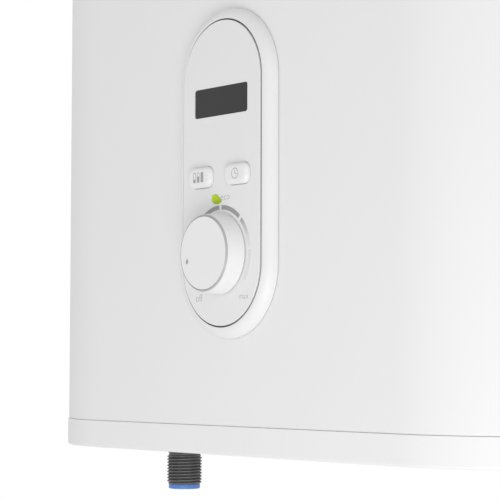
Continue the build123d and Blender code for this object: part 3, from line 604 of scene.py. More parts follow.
def circuit_board(name):
    """Lacquered board with its copper tracks."""
    finish = Finish(name)
    tracks = finish.node(
        "ShaderNodeTexBrick", {"offset": 0.37, "squash": 0.6, "squash_frequency": 3},
        {"Vector": finish.place, "Scale": 160.0, "Mortar Size": 0.06, "Mortar Smooth": 0.1}, "Fac",
    )
    cloud = finish.noise(50.0, 3.0)
    lacquer = finish.mix(cloud, (0.010, 0.070, 0.028, 1), (0.018, 0.100, 0.040, 1))
    return finish.close(
        Base_Color=finish.mix(tracks, lacquer, (0.045, 0.180, 0.075, 1)),
        Roughness=0.30 + cloud * 0.1,
        Normal=finish.bump(tracks, 0.03 * MM, 0.5),
    )


FINISHES = {
    "jacket_white": painted_sheet("stoved_white", grey(0.85), 0.48),
    "cap_white": moulded_plastic("cap_plastic", grey(0.86), 0.46, 1800.0),
    "panel_white": moulded_plastic("panel_plastic", grey(0.83), 0.5, coat=0.1),
    "button_white": moulded_plastic("button_plastic", grey(0.85), 0.36, 3000.0, 0.003 * MM, 0.15),
    "trim_grey": moulded_plastic("trim_plastic", grey(0.46), 0.30, 3000.0, 0.004 * MM),
    "display_dark": smoked_window("smoked_window"),
    "leaf_green": leaf_lens("leaf_lens"),
    "pipe_dark": threaded_steel("threaded_steel"),
    "sleeve_blue": moulded_plastic("blue_plastic", (0.075, 0.215, 0.60, 1), 0.34),
    "sleeve_red": moulded_plastic("red_plastic", (0.55, 0.045, 0.035, 1), 0.34),
    "bracket_steel": galvanised_steel("galvanised_steel"),
    "screw_steel": plain_metal("zinc_plate", (0.60, 0.61, 0.62, 1), 0.24),
    "plate_steel": plain_metal("pickled_sheet", (0.52, 0.53, 0.54, 1), 0.34, (0.1, 1.0, 1.0)),
    "tank_steel": painted_sheet("tank_enamel", (0.055, 0.085, 0.14, 1), 0.30),
    "element_steel": plain_metal("nickel_sheath", (0.56, 0.53, 0.49, 1), 0.22, (1.0, 1.0, 0.1)),
    "anode_metal": plain_metal("cast_magnesium", (0.48, 0.49, 0.50, 1), 0.50, depth=0.05 * MM),
    "gasket_rubber": soft_rubber("gasket_rubber", (0.020, 0.020, 0.021, 1)),
    "foam": cast_foam("cast_foam"),
    "inner_plastic": moulded_plastic("inner_plastic", grey(0.62), 0.45),
    "black_plastic": moulded_plastic("black_plastic", grey(0.022), 0.40, 1800.0, 0.01 * MM),
    "board_green": circuit_board("circuit_board"),
    "wire_red": soft_rubber("silicone_lead", (0.36, 0.030, 0.022, 1)),
}
INK_GREY = printed_ink("mark_ink", grey(0.37))
WORD_INK = printed_ink("word_ink", grey(0.45))
PALE_INK = printed_ink("pale_ink", grey(0.32))
# trim ring coloured near black: a painted shadow for the deep groove round the face
DARK_TRIM = moulded_plastic("dark_trim", grey(0.07), 0.45, 3000.0, 0.004 * MM)
DIAL_INK = dial_ink("dial_ink")

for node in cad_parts.values():
    for place in node.material_slots:
        place.material = FINISHES[place.material.name.split(".")[0]]

# Jacket and its fixing holes
BOLT_X = 100.0 * MM
BOLT_HOLE = 4.15 * MM
BOLT_HEAD = 6.5 * MM
JACKET_SCREW_X = 110.0 * MM
JACKET_SCREW_HOLE = 1.75 * MM
bolt_low, bolt_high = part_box("bracket_bolts")
bolt_flat = BOLT_HEAD * math.sqrt(0.75)
bolt_levels = (bolt_low[2] + bolt_flat, bolt_high[2] - bolt_flat)
screw_levels = (floor_z + rim_height + LIP_HEIGHT / 2, roof_z - rim_height - LIP_HEIGHT / 2)


def make_jacket():
    """Painted sheet, with turned edges, the panel's cut-out and the lock seam at the back."""
    low, high = sheet_low[2] - SEAM_CLOSE, sheet_high[2] + SEAM_CLOSE
    edges = [(-SHEET, low, 0), (0, low, SHEET_ROUND), (0, high, SHEET_ROUND), (-SHEET, high, 0)]
    profile = rounded(edges, closed=False, hold=HOLD, step=30)
    cut_out = stadium(bezel_inner + BEZEL_LAND + CUTOUT_GAP)
    cuts = [prism(on_panel, cut_out, -2 * SHEET, 2 * SHEET)]
    holes = [(BOLT_X, bolt_levels, BOLT_HOLE), (JACKET_SCREW_X, screw_levels, JACKET_SCREW_HOLE)]
    ends = (back_y - 2 * SHEET, back_y + SHEET)
    for sign in (-1, 1):
        for x, levels, radius in holes:
            cuts += [prism(on_back(sign * x, z), circle(radius), *ends) for z in levels]
    wall = stack(on_casing, casing_outline, profile, hollow=True)
    make("outer_jacket_skin", [wall], "jacket_white", "outer_jacket", cuts=cuts)
    half, foot, proud = LOCK_SEAM_WIDTH / 2, -SHEET / 2, sheet_high[1] - back_y
    fold = LOCK_SEAM_ROUND * proud
    strip = rounded([(half, foot, 0), (half, proud, fold), (-half, proud, fold), (-half, foot, 0)], step=15)
    make("lock_seam", [prism(on_axis(0, back_y), strip, low, high)], "jacket_white")


# Caps and service cover
COVER_CORNER = 40.0 * MM
COVER_LEDGE = 10.0 * MM
COVER_SLIDE = 0.25 * MM
COVER_EDGE = 0.4 * MM
COVER_BAND = 3.0 * MM
LEDGE_THICKNESS = 3.0 * MM
PIPE_HOLE = 11.5 * MM
GLAND_HOLE = 8.2 * MM
COVER_SCREW_HEAD = 3.1 * MM
WELL_GAP = 0.15 * MM       # round the cover's screw heads
WELL_DEPTH = 2.0 * MM
cover_x = right_end("service_cover") + COVER_SLIDE
cover_y = half_size("service_cover", 1) + COVER_SLIDE
cover_place = on_axis(0, middle("service_cover", 1))
gland_y = middle("cable_gland", 1)
pipes = {}
for side in ("cold_inlet", "hot_outlet"):
    pipes[side] = (middle(f"{side}_nipple", 0), middle(f"{side}_nipple", 1))


def cap_profile():
    """Size and height of an end cap from its outer floor to its inner one."""
    lip_top = rim_height + LIP_HEIGHT
    corners = [
        (CAP_PROUD - CAP_ROUND - 2 * HOLD, 0, 0), (CAP_PROUD, 0, CAP_ROUND),
        (CAP_PROUD, rim_height, RIM_ROUND), (LIP_OUTER, rim_height, 0), (LIP_OUTER, lip_top, 0),
        (LIP_INNER, lip_top, 0), (LIP_INNER, CAP_FLOOR, 0),
    ]
    return rounded(corners, closed=False, hold=HOLD / 2, step=9)


def cover_outline(offset):
    """Plan of the service opening's recess, grown by an offset."""
    return rectangle(cover_x + offset, cover_y + offset, COVER_CORNER + offset, HOLD)


def cover_screws():
    """Plan of the service cover's screws, at the middle of its sides."""
    x, y = cover_x - COVER_LEDGE / 2, cover_y - COVER_LEDGE / 2
    return [tuple(cover_place(u, v, floor_z)[:2]) for u, v in ((-x, 0), (x, 0), (0, -y), (0, y))]


def make_caps():
    """Moulded end caps and the cover under the lower one."""
    below = [(size, floor_z + height) for size, height in cap_profile()]
    above = [(size, roof_z - height) for size, height in cap_profile()]
    ledge = floor_z + CAP_FLOOR
    deck = ledge + LEDGE_THICKNESS
    lower = form("bottom_cap_shell", [stack(on_casing, casing_outline, below)])
    combine(lower, prism(cover_place, cover_outline(CAP_FLOOR), ledge - PAST, deck), "UNION")
    cuts = [prism(cover_place, cover_outline(0), floor_z - PAST, ledge)]
    cuts.append(prism(cover_place, cover_outline(-COVER_LEDGE), floor_z, deck + PAST))
    holes = [(x, y, PIPE_HOLE) for x, y in pipes.values()] + [(0, gland_y, GLAND_HOLE)]
    cuts += [prism(on_axis(x, y), circle(radius), floor_z - PAST, deck) for x, y, radius in holes]
    for shell in cuts:
        combine(lower, shell, "DIFFERENCE")
    finish_piece(lower, "cap_white", "bottom_cap")
    make("top_cap_shell", [stack(on_casing, casing_outline, above)], "cap_white", "top_cap")
    edge, inner = -COVER_SLIDE, -COVER_SLIDE - COVER_BAND
    corners = [(inner, floor_z, 0), (edge, floor_z, COVER_EDGE), (edge, ledge, 0), (inner, ledge, 0)]
    plate = rounded(corners, closed=False, hold=HOLD / 3, step=15)
    well = (circle(COVER_SCREW_HEAD + WELL_GAP), floor_z - PAST, floor_z + WELL_DEPTH)
    wells = [prism(on_axis(x, y), *well) for x, y in cover_screws()]
    shell = stack(cover_place, cover_outline, plate)
    make("service_cover_plate", [shell], "cap_white", "service_cover", cuts=wells)


# Water connections
THREAD_DEPTH = 1.16 * MM
THREAD_PITCH = 1.814 * MM
THREAD_CREST = 0.42 * MM
THREAD_TURNS = 10
THREAD_LENGTH = THREAD_TURNS * THREAD_PITCH
RUN_OUT = 0.8 * THREAD_PITCH
RELIEF = 0.25 * THREAD_PITCH
TURN_STEPS = 10
NECK_RADIUS = 9.9 * MM
NECK_CHAMFER = 0.6 * MM
NIPPLE_BORE = 7.5 * MM
SLEEVE_BORE = 6.3 * MM
SLEEVE_COLLAR = 2.6 * MM
COLLAR_ROUNDS = (0.4 * MM, 0.7 * MM, 0.3 * MM)


def thread_outline(height, crest):
    """Outline of the helical thread at a height, where the thread runs out at both ends."""
    flat = THREAD_CREST / THREAD_PITCH / 2
    fade = max(0.0, min(1.0, height / RUN_OUT, (THREAD_LENGTH - height) / RUN_OUT))
    points = []
    for u, v in circle(1.0):
        phase = (height / THREAD_PITCH - math.atan2(v, u) / (2 * math.pi)) % 1.0
        ridge = min(1.0, (0.5 - abs(phase - 0.5)) / (0.5 - flat))
        radius = crest - THREAD_DEPTH * (1 - ridge * fade)
        points.append((radius * u, radius * v))
    return points


def make_connection(side, sleeve_slot):
    """Threaded water connection with its coloured insulating sleeve."""
    low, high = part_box(f"{side}_nipple")
    place = on_axis(*pipes[side])
    crest = half_size(f"{side}_nipple", 0)
    end, top = low[2], high[2]
    shoulder = end + THREAD_LENGTH + RELIEF
    rows = THREAD_TURNS * TURN_STEPS
    levels = [THREAD_LENGTH * k / rows for k in range(rows + 1)]
    neck = [(crest - THREAD_DEPTH, shoulder), (NECK_RADIUS, shoulder + NECK_CHAMFER), (NECK_RADIUS, top)]
    loops = [loop(place, circle(NIPPLE_BORE), end)]
    loops += [loop(place, thread_outline(level, crest), end + level) for level in levels]
    loops += [loop(place, circle(radius), z) for radius, z in neck + [(NIPPLE_BORE, top)]]
    make(f"{side}_thread", [skin(loops, hollow=True)], "pipe_dark", f"{side}_nipple")
    ring_low, ring_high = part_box(f"{side}_sleeve")
    collar = half_size(f"{side}_sleeve", 0)
    foot, collar_top = ring_low[2], ring_low[2] + SLEEVE_COLLAR
    wall = NIPPLE_BORE - HAIR_GAP
    bore_round, foot_round, top_round = COLLAR_ROUNDS
    corners = [
        (SLEEVE_BORE, foot, bore_round), (collar, foot, foot_round), (collar, collar_top, top_round),
        (wall, collar_top, 0), (wall, ring_high[2], 0), (SLEEVE_BORE, ring_high[2], 0),
    ]
    ring = stack(place, circle, rounded(corners, step=15), hollow=True)
    make(f"{side}_end_ring", [ring], sleeve_slot, f"{side}_sleeve")


# Cable gland
GLAND_BORE = 4.5 * MM
GLAND_BODY = 8.0 * MM
GLAND_FLANGE = 4.0 * MM
GLAND_NOSE = 9.0 * MM
GLAND_EDGE = 0.5 * MM
GLAND_SEAT_EDGE = 0.3 * GLAND_EDGE
BARREL_OVERLAP = 0.2 * MM
GLAND_RIBS = 18
GLAND_RIB = 0.45 * MM
RIB_FADE = 0.6 * MM
RIB_STEPS = 8
NOSE_ROUNDS = (0.8 * MM, 2.6 * MM, 0.4 * MM)


def ribbed(radius):
    """Round outline of the clamping nut, with grip ribs where it is at its full width."""
    share = max(0.0, 1 - abs(radius - GLAND_NOSE) / RIB_FADE)
    points = []
    for k in range(RIB_STEPS * GLAND_RIBS):
        turn = 2 * math.pi * k / (RIB_STEPS * GLAND_RIBS)
        groove = (0.5 + 0.5 * math.cos(GLAND_RIBS * turn)) ** 2
        out = radius - share * GLAND_RIB * groove
        points.append((out * math.cos(turn), out * math.sin(turn)))
    return points


def make_gland():
    """Cable gland: six-sided body and locknut, and a ribbed clamping nut."""
    gland_low, gland_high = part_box("cable_gland")
    low, high = gland_low[2], gland_high[2]
    place = on_axis(0, gland_y)
    corner, edge, seat = gland_high[0], GLAND_EDGE, GLAND_SEAT_EDGE
    flange, nut_low = floor_z - GLAND_FLANGE, floor_z + CAP_FLOOR
    body = [(corner - 2 * edge, flange), (corner, flange + edge)]
    body += [(corner, floor_z - seat), (corner - seat, floor_z)]
    nut = [(corner - edge, nut_low), (corner, nut_low + edge), (corner, high - edge), (corner - edge, high)]
    bore_round, tip_round, back_round = NOSE_ROUNDS
    corners = [
        (GLAND_BORE, low, bore_round), (GLAND_NOSE, low, tip_round), (GLAND_NOSE, flange, back_round),
        (GLAND_BORE, flange, 0),
    ]
    nose = rounded(corners, step=12, hold=HOLD / 3)
    shells = [stack(place, hexagon, body), stack(place, hexagon, nut)]
    shells.append(prism(place, circle(GLAND_BODY), floor_z - BARREL_OVERLAP, high))
    bore = prism(place, circle(GLAND_BORE), low - PAST, high + PAST)
    things = [form("gland_part", [shell], [bore]) for shell in shells]
    things.append(form("gland_nose", [stack(place, ribbed, nose, hollow=True)]))
    finish_piece(join_objects("cable_gland_set", things), "black_plastic", "cable_gland")


# Wall brackets
BRACKET_PLATE = 2.5 * MM
BRACKET_BEND = 1.2 * MM
BRACKET_FLANGE = 34.0 * MM
BRACKET_EDGE = 0.35 * MM
EDGE_ANGLE = 50
SLOT_X = 100.0 * MM
SLOT_HALF_LENGTH = 13.0 * MM
SLOT_RADIUS = 5.5 * MM
SLOT_FLAT = 0.001 * MM     # half the flat between the two arcs of a slot's end, which may not meet
NOTCH_HALF = 7.5 * MM


def make_bracket(level):
    """Z-shaped wall hanger, bent from sheet, with its slots and bolt holes."""
    low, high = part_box(f"{level}_bracket")
    plate, bend = BRACKET_PLATE, BRACKET_BEND
    front, wall = low[1], high[1]
    web = high[2] - BRACKET_FLANGE
    corners = [
        (front, low[2], 0), (front + plate, low[2], 0), (front + plate, web - plate, bend),
        (wall, web - plate, bend + plate), (wall, high[2], 0), (wall - plate, high[2], 0),
        (wall - plate, web, bend), (front, web, bend + plate),
    ]
    bar = prism(lambda u, v, w: Vector((w, u, v)), rounded(corners, step=10), low[0], high[0])
    slot_z = high[2] - BRACKET_FLANGE / 2
    slot = rectangle(SLOT_HALF_LENGTH, SLOT_RADIUS + SLOT_FLAT, SLOT_RADIUS, step=7.5)
    bolt_z = min(bolt_levels, key=lambda z: abs(z - web))
    cuts = []
    for sign in (-1, 1):
        cuts.append(prism(on_back(sign * SLOT_X, slot_z), slot, wall - 2 * plate, wall + plate))
        bolt_place = on_back(sign * BOLT_X, bolt_z)
        cuts.append(prism(bolt_place, circle(BOLT_HOLE), front - plate, front + 2 * plate))
    notch_top = web - plate - bend
    notch = rectangle(NOTCH_HALF, (notch_top - low[2]) / 2 + PAST)
    notch_place = on_back(0, (low[2] + notch_top) / 2)
    cuts.append(prism(notch_place, notch, front - plate, front + plate + bend / 4))
    thing = form(f"{level}_hanger", [bar], cuts)
    soften = thing.modifiers.new("edges", "BEVEL")
    soften.width = BRACKET_EDGE
    soften.segments = 2
    soften.limit_method = "ANGLE"
    soften.angle_limit = math.radians(EDGE_ANGLE)
    settle(thing)
    finish_piece(thing, "bracket_steel", f"{level}_bracket")


# Fasteners and the dial, set out by Geometry Nodes
class Recipe(Graph):
    """A Geometry Nodes tree with named inputs, applied to a host mesh."""

    def __init__(self, name, inputs):
        super().__init__(bpy.data.node_groups.new(name, "GeometryNodeTree"))
        self.tree.interface.new_socket("Geometry", in_out="INPUT", socket_type="NodeSocketGeometry")
        self.tree.interface.new_socket("Geometry", in_out="OUTPUT", socket_type="NodeSocketGeometry")
        self.names = {}
        for label, kind in inputs.items():
            socket = self.tree.interface.new_socket(label, in_out="INPUT", socket_type=f"NodeSocket{kind}")
            self.names[label] = socket.identifier
        self.entry = self.tree.nodes.new("NodeGroupInput")

    def given(self, label):
        """One of the tree's inputs."""
        return Value(self, self.entry.outputs[label])

    def close(self, shape):
        """Makes the shape real, gives it its material and ends the tree."""
        real = self.node("GeometryNodeRealizeInstances", {}, {"Geometry": shape})
        dress = {"Geometry": real, "Material": self.given("Material")}
        dressed = self.node("GeometryNodeSetMaterial", {}, dress)
        self.node("NodeGroupOutput", {}, {"Geometry": dressed})

    def apply(self, thing, values):
        """Runs the tree on an object and keeps the result as plain mesh."""
        step = thing.modifiers.new(self.tree.name, "NODES")
        step.node_group = self.tree
        for label, value in values.items():
            step[self.names[label]] = value
        settle(thing)


def fastener_recipe():
    """Sets a fastener on each point of the host, aimed and sized by the point's attributes."""
    recipe = Recipe("set_out_fasteners", {"Fastener": "Object", "Material": "Material"})
    aim = recipe.node("GeometryNodeInputNamedAttribute", {"data_type": "FLOAT_VECTOR"}, {"Name": "aim"})
    size = recipe.node("GeometryNodeInputNamedAttribute", {"data_type": "FLOAT"}, {"Name": "size"})
    turn = recipe.node("FunctionNodeAlignRotationToVector", {"axis": "Z"}, {"Vector": aim})
    source = {"Object": recipe.given("Fastener")}
    shape = recipe.node("GeometryNodeObjectInfo", {"transform_space": "ORIGINAL"}, source, "Geometry")
    setting = {"Points": recipe.given("Geometry"), "Instance": shape, "Rotation": turn, "Scale": size}
    recipe.close(recipe.node("GeometryNodeInstanceOnPoints", {}, setting))
    return recipe


def dial_recipe():
    """Printed segments of the dial, side by side on an arc."""
    sizes = ("Radius", "Width", "Thickness", "Start", "Pitch", "Gap")
    inputs = {label: "Float" for label in sizes}
    inputs.update({"Count": "Int", "Centre": "Vector", "Tilt": "Vector", "Material": "Material"})
    recipe = Recipe("dial_segments", inputs)
    pitch, gap = recipe.given("Pitch"), recipe.given("Gap")
    sweep = {"Radius": recipe.given("Radius"), "Start Angle": gap * 0.5, "Sweep Angle": pitch - gap}
    arc = recipe.node("GeometryNodeCurveArc", {"mode": "RADIUS"}, {"Resolution": 40, **sweep}, "Curve")
    level = recipe.node("GeometryNodeSetCurveNormal", {"mode": "Z_UP"}, {"Curve": arc})
    strip = {"Width": recipe.given("Width"), "Height": recipe.given("Thickness")}
    section = recipe.node("GeometryNodeCurvePrimitiveQuadrilateral", {"mode": "RECTANGLE"}, strip)
    path = {"Curve": level, "Profile Curve": section, "Fill Caps": True}
    band = recipe.node("GeometryNodeCurveToMesh", {}, path)
    spots = {"Count": recipe.given("Count"), "Offset": (0.0, 0.0, 0.0)}
    line = recipe.node("GeometryNodeMeshLine", {}, spots)
    index = recipe.node("GeometryNodeInputIndex")
    turn = recipe.node("ShaderNodeCombineXYZ", {}, {"Z": recipe.given("Start") + index * pitch})
    setting = {"Points": line, "Instance": band, "Rotation": turn}
    ring = recipe.node("GeometryNodeInstanceOnPoints", {}, setting)
    move = {"Geometry": ring, "Translation": recipe.given("Centre"), "Rotation": recipe.given("Tilt")}
    recipe.close(recipe.node("GeometryNodeTransform", {}, move))
    return recipe


def set_out(recipe, name, template, places, slot, node):
    """One piece with a fastener at each place, given as point, aim and size."""
    mesh = bpy.data.meshes.new(name)
    mesh.from_pydata([point for point, _, _ in places], [], [])
    aim = mesh.attributes.new("aim", "FLOAT_VECTOR", "POINT")
    aim.data.foreach_set("vector", [c for _, direction, _ in places for c in direction])
    size = mesh.attributes.new("size", "FLOAT", "POINT")
    size.data.foreach_set("value", [scale for _, _, scale in places])
    thing = place_object(name, mesh)
    recipe.apply(thing, {"Fastener": template, "Material": FINISHES[slot]})
    bpy.data.objects.remove(template)
    finish_piece(thing, slot, node)


SCREW_HEAD = 4.0 * MM
SCREW_HEAD_HEIGHT = 2.2 * MM
SCREW_HEAD_EDGE = 0.25 * MM
SCREW_HEAD_DOME = 1.3 * MM
SCREW_CROWN = 0.3 * SCREW_HEAD
SCREW_SHANK = 1.6 * MM
SCREW_TIP = 0.15 * SCREW_HEAD
SCREW_LENGTH = 4.0 * MM
SCREW_STEPS = 40
RECESS_HALF = 0.5 * MM
RECESS_REACH = 2.2 * MM
RECESS_FOOT = 0.35 * RECESS_REACH
RECESS_DEPTH = 1.2 * MM
RECESS_OVER = 0.1 * MM


def pan_head_screw():
    """Pan-head screw with a cross recess, its seat at the origin and its head along Z."""
    head, top, shank = SCREW_HEAD, SCREW_HEAD_HEIGHT, SCREW_SHANK
    corners = [
        (SCREW_TIP, -SCREW_LENGTH, 0), (shank, shank - SCREW_LENGTH, 0), (shank, 0, 0),
        (head, 0, SCREW_HEAD_EDGE), (head, top, SCREW_HEAD_DOME), (SCREW_CROWN, top, 0),
    ]

    def recess_arm(reach):
        """One arm of the recess, which is narrower where it is shorter."""
        half = RECESS_HALF * (1 + reach / RECESS_REACH) / 2
        return [(-reach, -half), (reach, -half), (reach, half), (-reach, half)]

    place = on_axis(0, 0)
    body = stack(place, lambda r: circle(r, SCREW_STEPS), rounded(corners, closed=False, step=15))
    depths = [(RECESS_FOOT, top - RECESS_DEPTH), (RECESS_REACH, top + RECESS_OVER)]
    cross = [place, lambda u, v, w: Vector((-v, u, w))]
    return form("screw", [body], [stack(arm, recess_arm, depths) for arm in cross])


BOLT_SHANK = 4.0 * MM
BOLT_TIP = 0.8 * BOLT_SHANK
BOLT_REACH = 18.0 * MM
BOLT_CHAMFER = 1.0 * MM
BOLT_CLEAR = 1.05 * BOLT_HEAD
WASHER_RADIUS = 0.84 * BOLT_HEAD
WASHER_FACE = 0.4 * MM
bolt_seat = back_y + BRACKET_PLATE


def hexagon_bolt():
    """Bolt with a washer face and a chamfered head, its seat at the origin."""
    top = bolt_high[1] - bolt_seat
    place = on_axis(0, 0)
    head = form("bolt", [prism(place, hexagon(BOLT_HEAD), WASHER_FACE, top)])
    cone = [(BOLT_CLEAR, 0), (BOLT_CLEAR, top - BOLT_CHAMFER), (WASHER_RADIUS, top)]
    combine(head, stack(place, circle, cone), "INTERSECT")
    profile = [
        (BOLT_TIP, -BOLT_REACH), (BOLT_SHANK, BOLT_CHAMFER - BOLT_REACH), (BOLT_SHANK, 0),
        (WASHER_RADIUS, 0), (WASHER_RADIUS, WASHER_FACE),
    ]
    return join_objects("bolt_set", [head, form("stem", [stack(place, circle, profile)])])


def make_fasteners():
    """Bracket bolts and the screws of the casing."""
    recipe = fastener_recipe()
    wall, down = (0.0, 1.0, 0.0), (0.0, 0.0, -1.0)
    bolts = [((sign * BOLT_X, bolt_seat, z), wall, 1.0) for sign in (-1, 1) for z in bolt_levels]
    set_out(recipe, "bracket_bolt_set", hexagon_bolt(), bolts, "screw_steel", "bracket_bolts")
    small = COVER_SCREW_HEAD / SCREW_HEAD
    sunk = floor_z + SCREW_HEAD_HEIGHT * small
    screws = [((sign * JACKET_SCREW_X, back_y, z), wall, 1.0) for sign in (-1, 1) for z in screw_levels]
    screws += [((x, y, sunk), down, small) for x, y in cover_screws()]
    set_out(recipe, "casing_screw_set", pan_head_screw(), screws, "screw_steel", "casing_screws")


# Panel rim and face
FACE_ROUND = 0.3 * MM
FACE_BAND = 3.0 * MM
BEZEL_LAND = 0.9 * MM
BEZEL_EDGE = 0.2 * MM
BEZEL_BULGE = 1.15 * MM
BEZEL_LEDGE = 2.5 * MM
BEZEL_LIFT = 0.35 * MM
BEZEL_LIP = 1.4 * MM
BEZEL_STEPS = 18
SPIGOT = 5.0 * MM
CUTOUT_GAP = 0.3 * MM
GROOVE_DEPTH = 1.6 * MM
TRIM_LIP = 0.15 * MM
SHAFT_HOLE = 4.2 * MM
bezel_top = panel_depths("panel_bezel")[1]
bezel_base = right_end("panel_bezel")


def arc_through(start, crown, end, count):
    """Points on the arc through three points."""
    (ax, ay), (bx, by), (cx, cy) = start, crown, end
    d = 2 * (ax * (by - cy) + bx * (cy - ay) + cx * (ay - by))
    a2, b2, c2 = ax * ax + ay * ay, bx * bx + by * by, cx * cx + cy * cy
    x = (a2 * (by - cy) + b2 * (cy - ay) + c2 * (ay - by)) / d
    y = (a2 * (cx - bx) + b2 * (ax - cx) + c2 * (bx - ax)) / d
    first = math.atan2(ay - y, ax - x)
    sweep = math.atan2(cy - y, cx - x) - first
    radius = math.hypot(ax - x, ay - y)
    angles = [first + sweep * k / count for k in range(count + 1)]
    return [(x + radius * math.cos(t), y + radius * math.sin(t)) for t in angles]


def make_bezel():
    """Flared rim round the face, and the ring inside it whose near-black colour paints the shadow in the
    groove.
    """
    inner, land = bezel_inner, bezel_inner + BEZEL_LAND
    crown = ((land + bezel_base) / 2 + BEZEL_BULGE, bezel_top / 2 + BEZEL_BULGE)
    flare = arc_through((bezel_base, BEZEL_LIFT), crown, (land, bezel_top), BEZEL_STEPS)
    bore, lip = inner - BEZEL_LEDGE, bezel_base - BEZEL_LIP
    corners = [
        (land, bezel_top, 0), (inner, bezel_top, BEZEL_EDGE), (inner, face_back, 0), (bore, face_back, 0),
        (bore, -SPIGOT, 0), (land, -SPIGOT, 0), (land, 0, 0), (lip, 0, 0), (lip, BEZEL_LIFT, 0),
    ]
    section = flare + rounded(corners, closed=False, step=20)[1:]
    make("panel_bezel_rim", [stack(on_panel, stadium, section, hollow=True)], "panel_white", "panel_bezel")
    outside, inside = inner - HAIR_GAP, face_edge + HAIR_GAP
    thin, top, floor = outside - TRIM_LIP, bezel_top - HAIR_GAP, face_top - GROOVE_DEPTH
    line = [(inside, face_back), (outside, face_back), (outside, top)]
    line += [(thin, top), (thin, floor), (inside, floor)]
    ring = stack(on_panel, stadium, line, hollow=True)
    # the lining is a real ring; its near-black colour paints the shadow inside the groove
    make("panel_trim_line", [ring], "trim_grey", "panel_trim_ring", finish=DARK_TRIM)


def make_face():
    """Face plate with its openings."""
    band = face_edge - FACE_BAND
    corners = [(band, face_back, 0), (face_edge, face_back, 0)]
    corners += [(face_edge, face_top, FACE_ROUND), (band, face_top, 0)]
    plate = rounded(corners, closed=False, hold=0.4 * HOLD, step=15)
    openings = [shifted(window_outline(FIT_GAP), window_spot)]
    openings += [shifted(button_outline(-BUTTON_GAP), button_spots[side]) for side in ("left", "right")]
    openings += [shifted(leaf_outline(FIT_GAP), LEAF_SPOT), shifted(circle(SHAFT_HOLE), knob_spot)]
    cuts = [prism(on_panel, opening, face_back - PAST, face_top + PAST) for opening in openings]
    make("panel_face_plate", [stack(on_panel, stadium, plate)], "panel_white", "panel_face", cuts=cuts)


# Display window
WINDOW_CORNER = 1.4 * MM
WINDOW_EDGE = 0.15 * MM
WINDOW_FLANGE = 2.0 * MM
WINDOW_BAND = 1.0 * MM
WINDOW_HOLD = 0.4 * MM
window_spot = panel_spot("display_window")
window_u = right_end("display_window") - WINDOW_FLANGE
window_v = half_size("display_window", 2) - WINDOW_FLANGE
window_back, window_top = panel_depths("display_window")


def window_outline(offset):
    """Outline of the display window, grown by an offset."""
    return rectangle(window_u + offset, window_v + offset, WINDOW_CORNER + offset, WINDOW_HOLD)


def make_window():
    """Smoked display window with a softened edge and its flange behind the face."""
    flange = WINDOW_FLANGE
    corners = [
        (-WINDOW_BAND, window_top, 0), (0, window_top, WINDOW_EDGE), (0, face_back, 0),
        (flange, face_back, 0), (flange, window_back, 0), (0, window_back, 0),
    ]
    profile = rounded(corners, closed=False, hold=WINDOW_HOLD / 2, step=30)
    glass = stack(on_panel_at(window_spot), window_outline, profile)
    make("display_glass", [glass], "display_dark", "display_window")


# Push buttons
BUTTON_U = 9.8 * MM
BUTTON_V = 5.6 * MM
BUTTON_CORNER = 4.4 * MM
BUTTON_GAP = 0.25 * MM
BUTTON_RIM = 1.3 * MM
BUTTON_FLANGE = 1.6 * MM
BUTTON_ROUND = 2.4 * MM
BUTTON_FLAT = 3.9 * MM
BUTTON_STEM = 1.6 * MM
STEM_OVERLAP = 0.1 * MM
button_spots = {side: panel_spot(f"{side}_button") for side in ("left", "right")}
button_foot, button_top = panel_depths("left_button")


def button_outline(inset):
    """Outline of a button, drawn in by an inset."""
    return rectangle(BUTTON_U - inset, BUTTON_V - inset, BUTTON_CORNER - inset, step=5.0)


def make_button(side):
    """Pillow-shaped push button with its rim and stem behind the face."""
    rim_top = face_back - FIT_GAP
    rim_low = rim_top - BUTTON_FLANGE
    corners = [
        (BUTTON_FLAT, rim_low, 0), (-BUTTON_RIM, rim_low, 0), (-BUTTON_RIM, rim_top, 0), (0, rim_top, 0),
        (0, button_top, BUTTON_ROUND), (BUTTON_FLAT, button_top, 0),
    ]
    profile = rounded(corners, closed=False, hold=HOLD / 3, step=7.5)
    place = on_panel_at(button_spots[side])
    shells = [stack(place, button_outline, profile)]
    shells.append(prism(place, circle(BUTTON_STEM), button_foot, rim_low + STEM_OVERLAP))
    make(f"{side}_button_cap", shells, "button_white", f"{side}_button", f"{side}_push_button")


# Leaf-shaped indicator
LEAF_LENGTH = 8.8 * MM
LEAF_WIDTH = 4.8 * MM
LEAF_TAPER = 0.6
LEAF_SWELL = 1.18          # makes up for the width that the taper takes away
LEAF_POINTS = 72
LEAF_FLANGE = 1.0 * MM
LEAF_EDGE = 0.1 * MM
LEAF_DOME = 2.2 * MM
DOME_STEPS = 9
LIGHT_GUIDE = 1.5 * MM


def leaf_outline(offset):
    """Leaf with a round and a pointed end, grown by an offset, about its own centre."""
    turn = Matrix.Rotation(math.radians(LEAF_TILT), 2)
    half, rise = LEAF_LENGTH / 2 + offset, LEAF_SWELL * (LEAF_WIDTH / 2 + offset)
    points = [(half, 0.0)]
    for k in range(1, LEAF_POINTS):
        t = 2 * math.pi * k / LEAF_POINTS
        points.append((half * math.cos(t), rise * math.sin(t / 2) ** LEAF_TAPER * math.sin(t)))
    return [tuple(turn @ Vector(point)) for point in points]


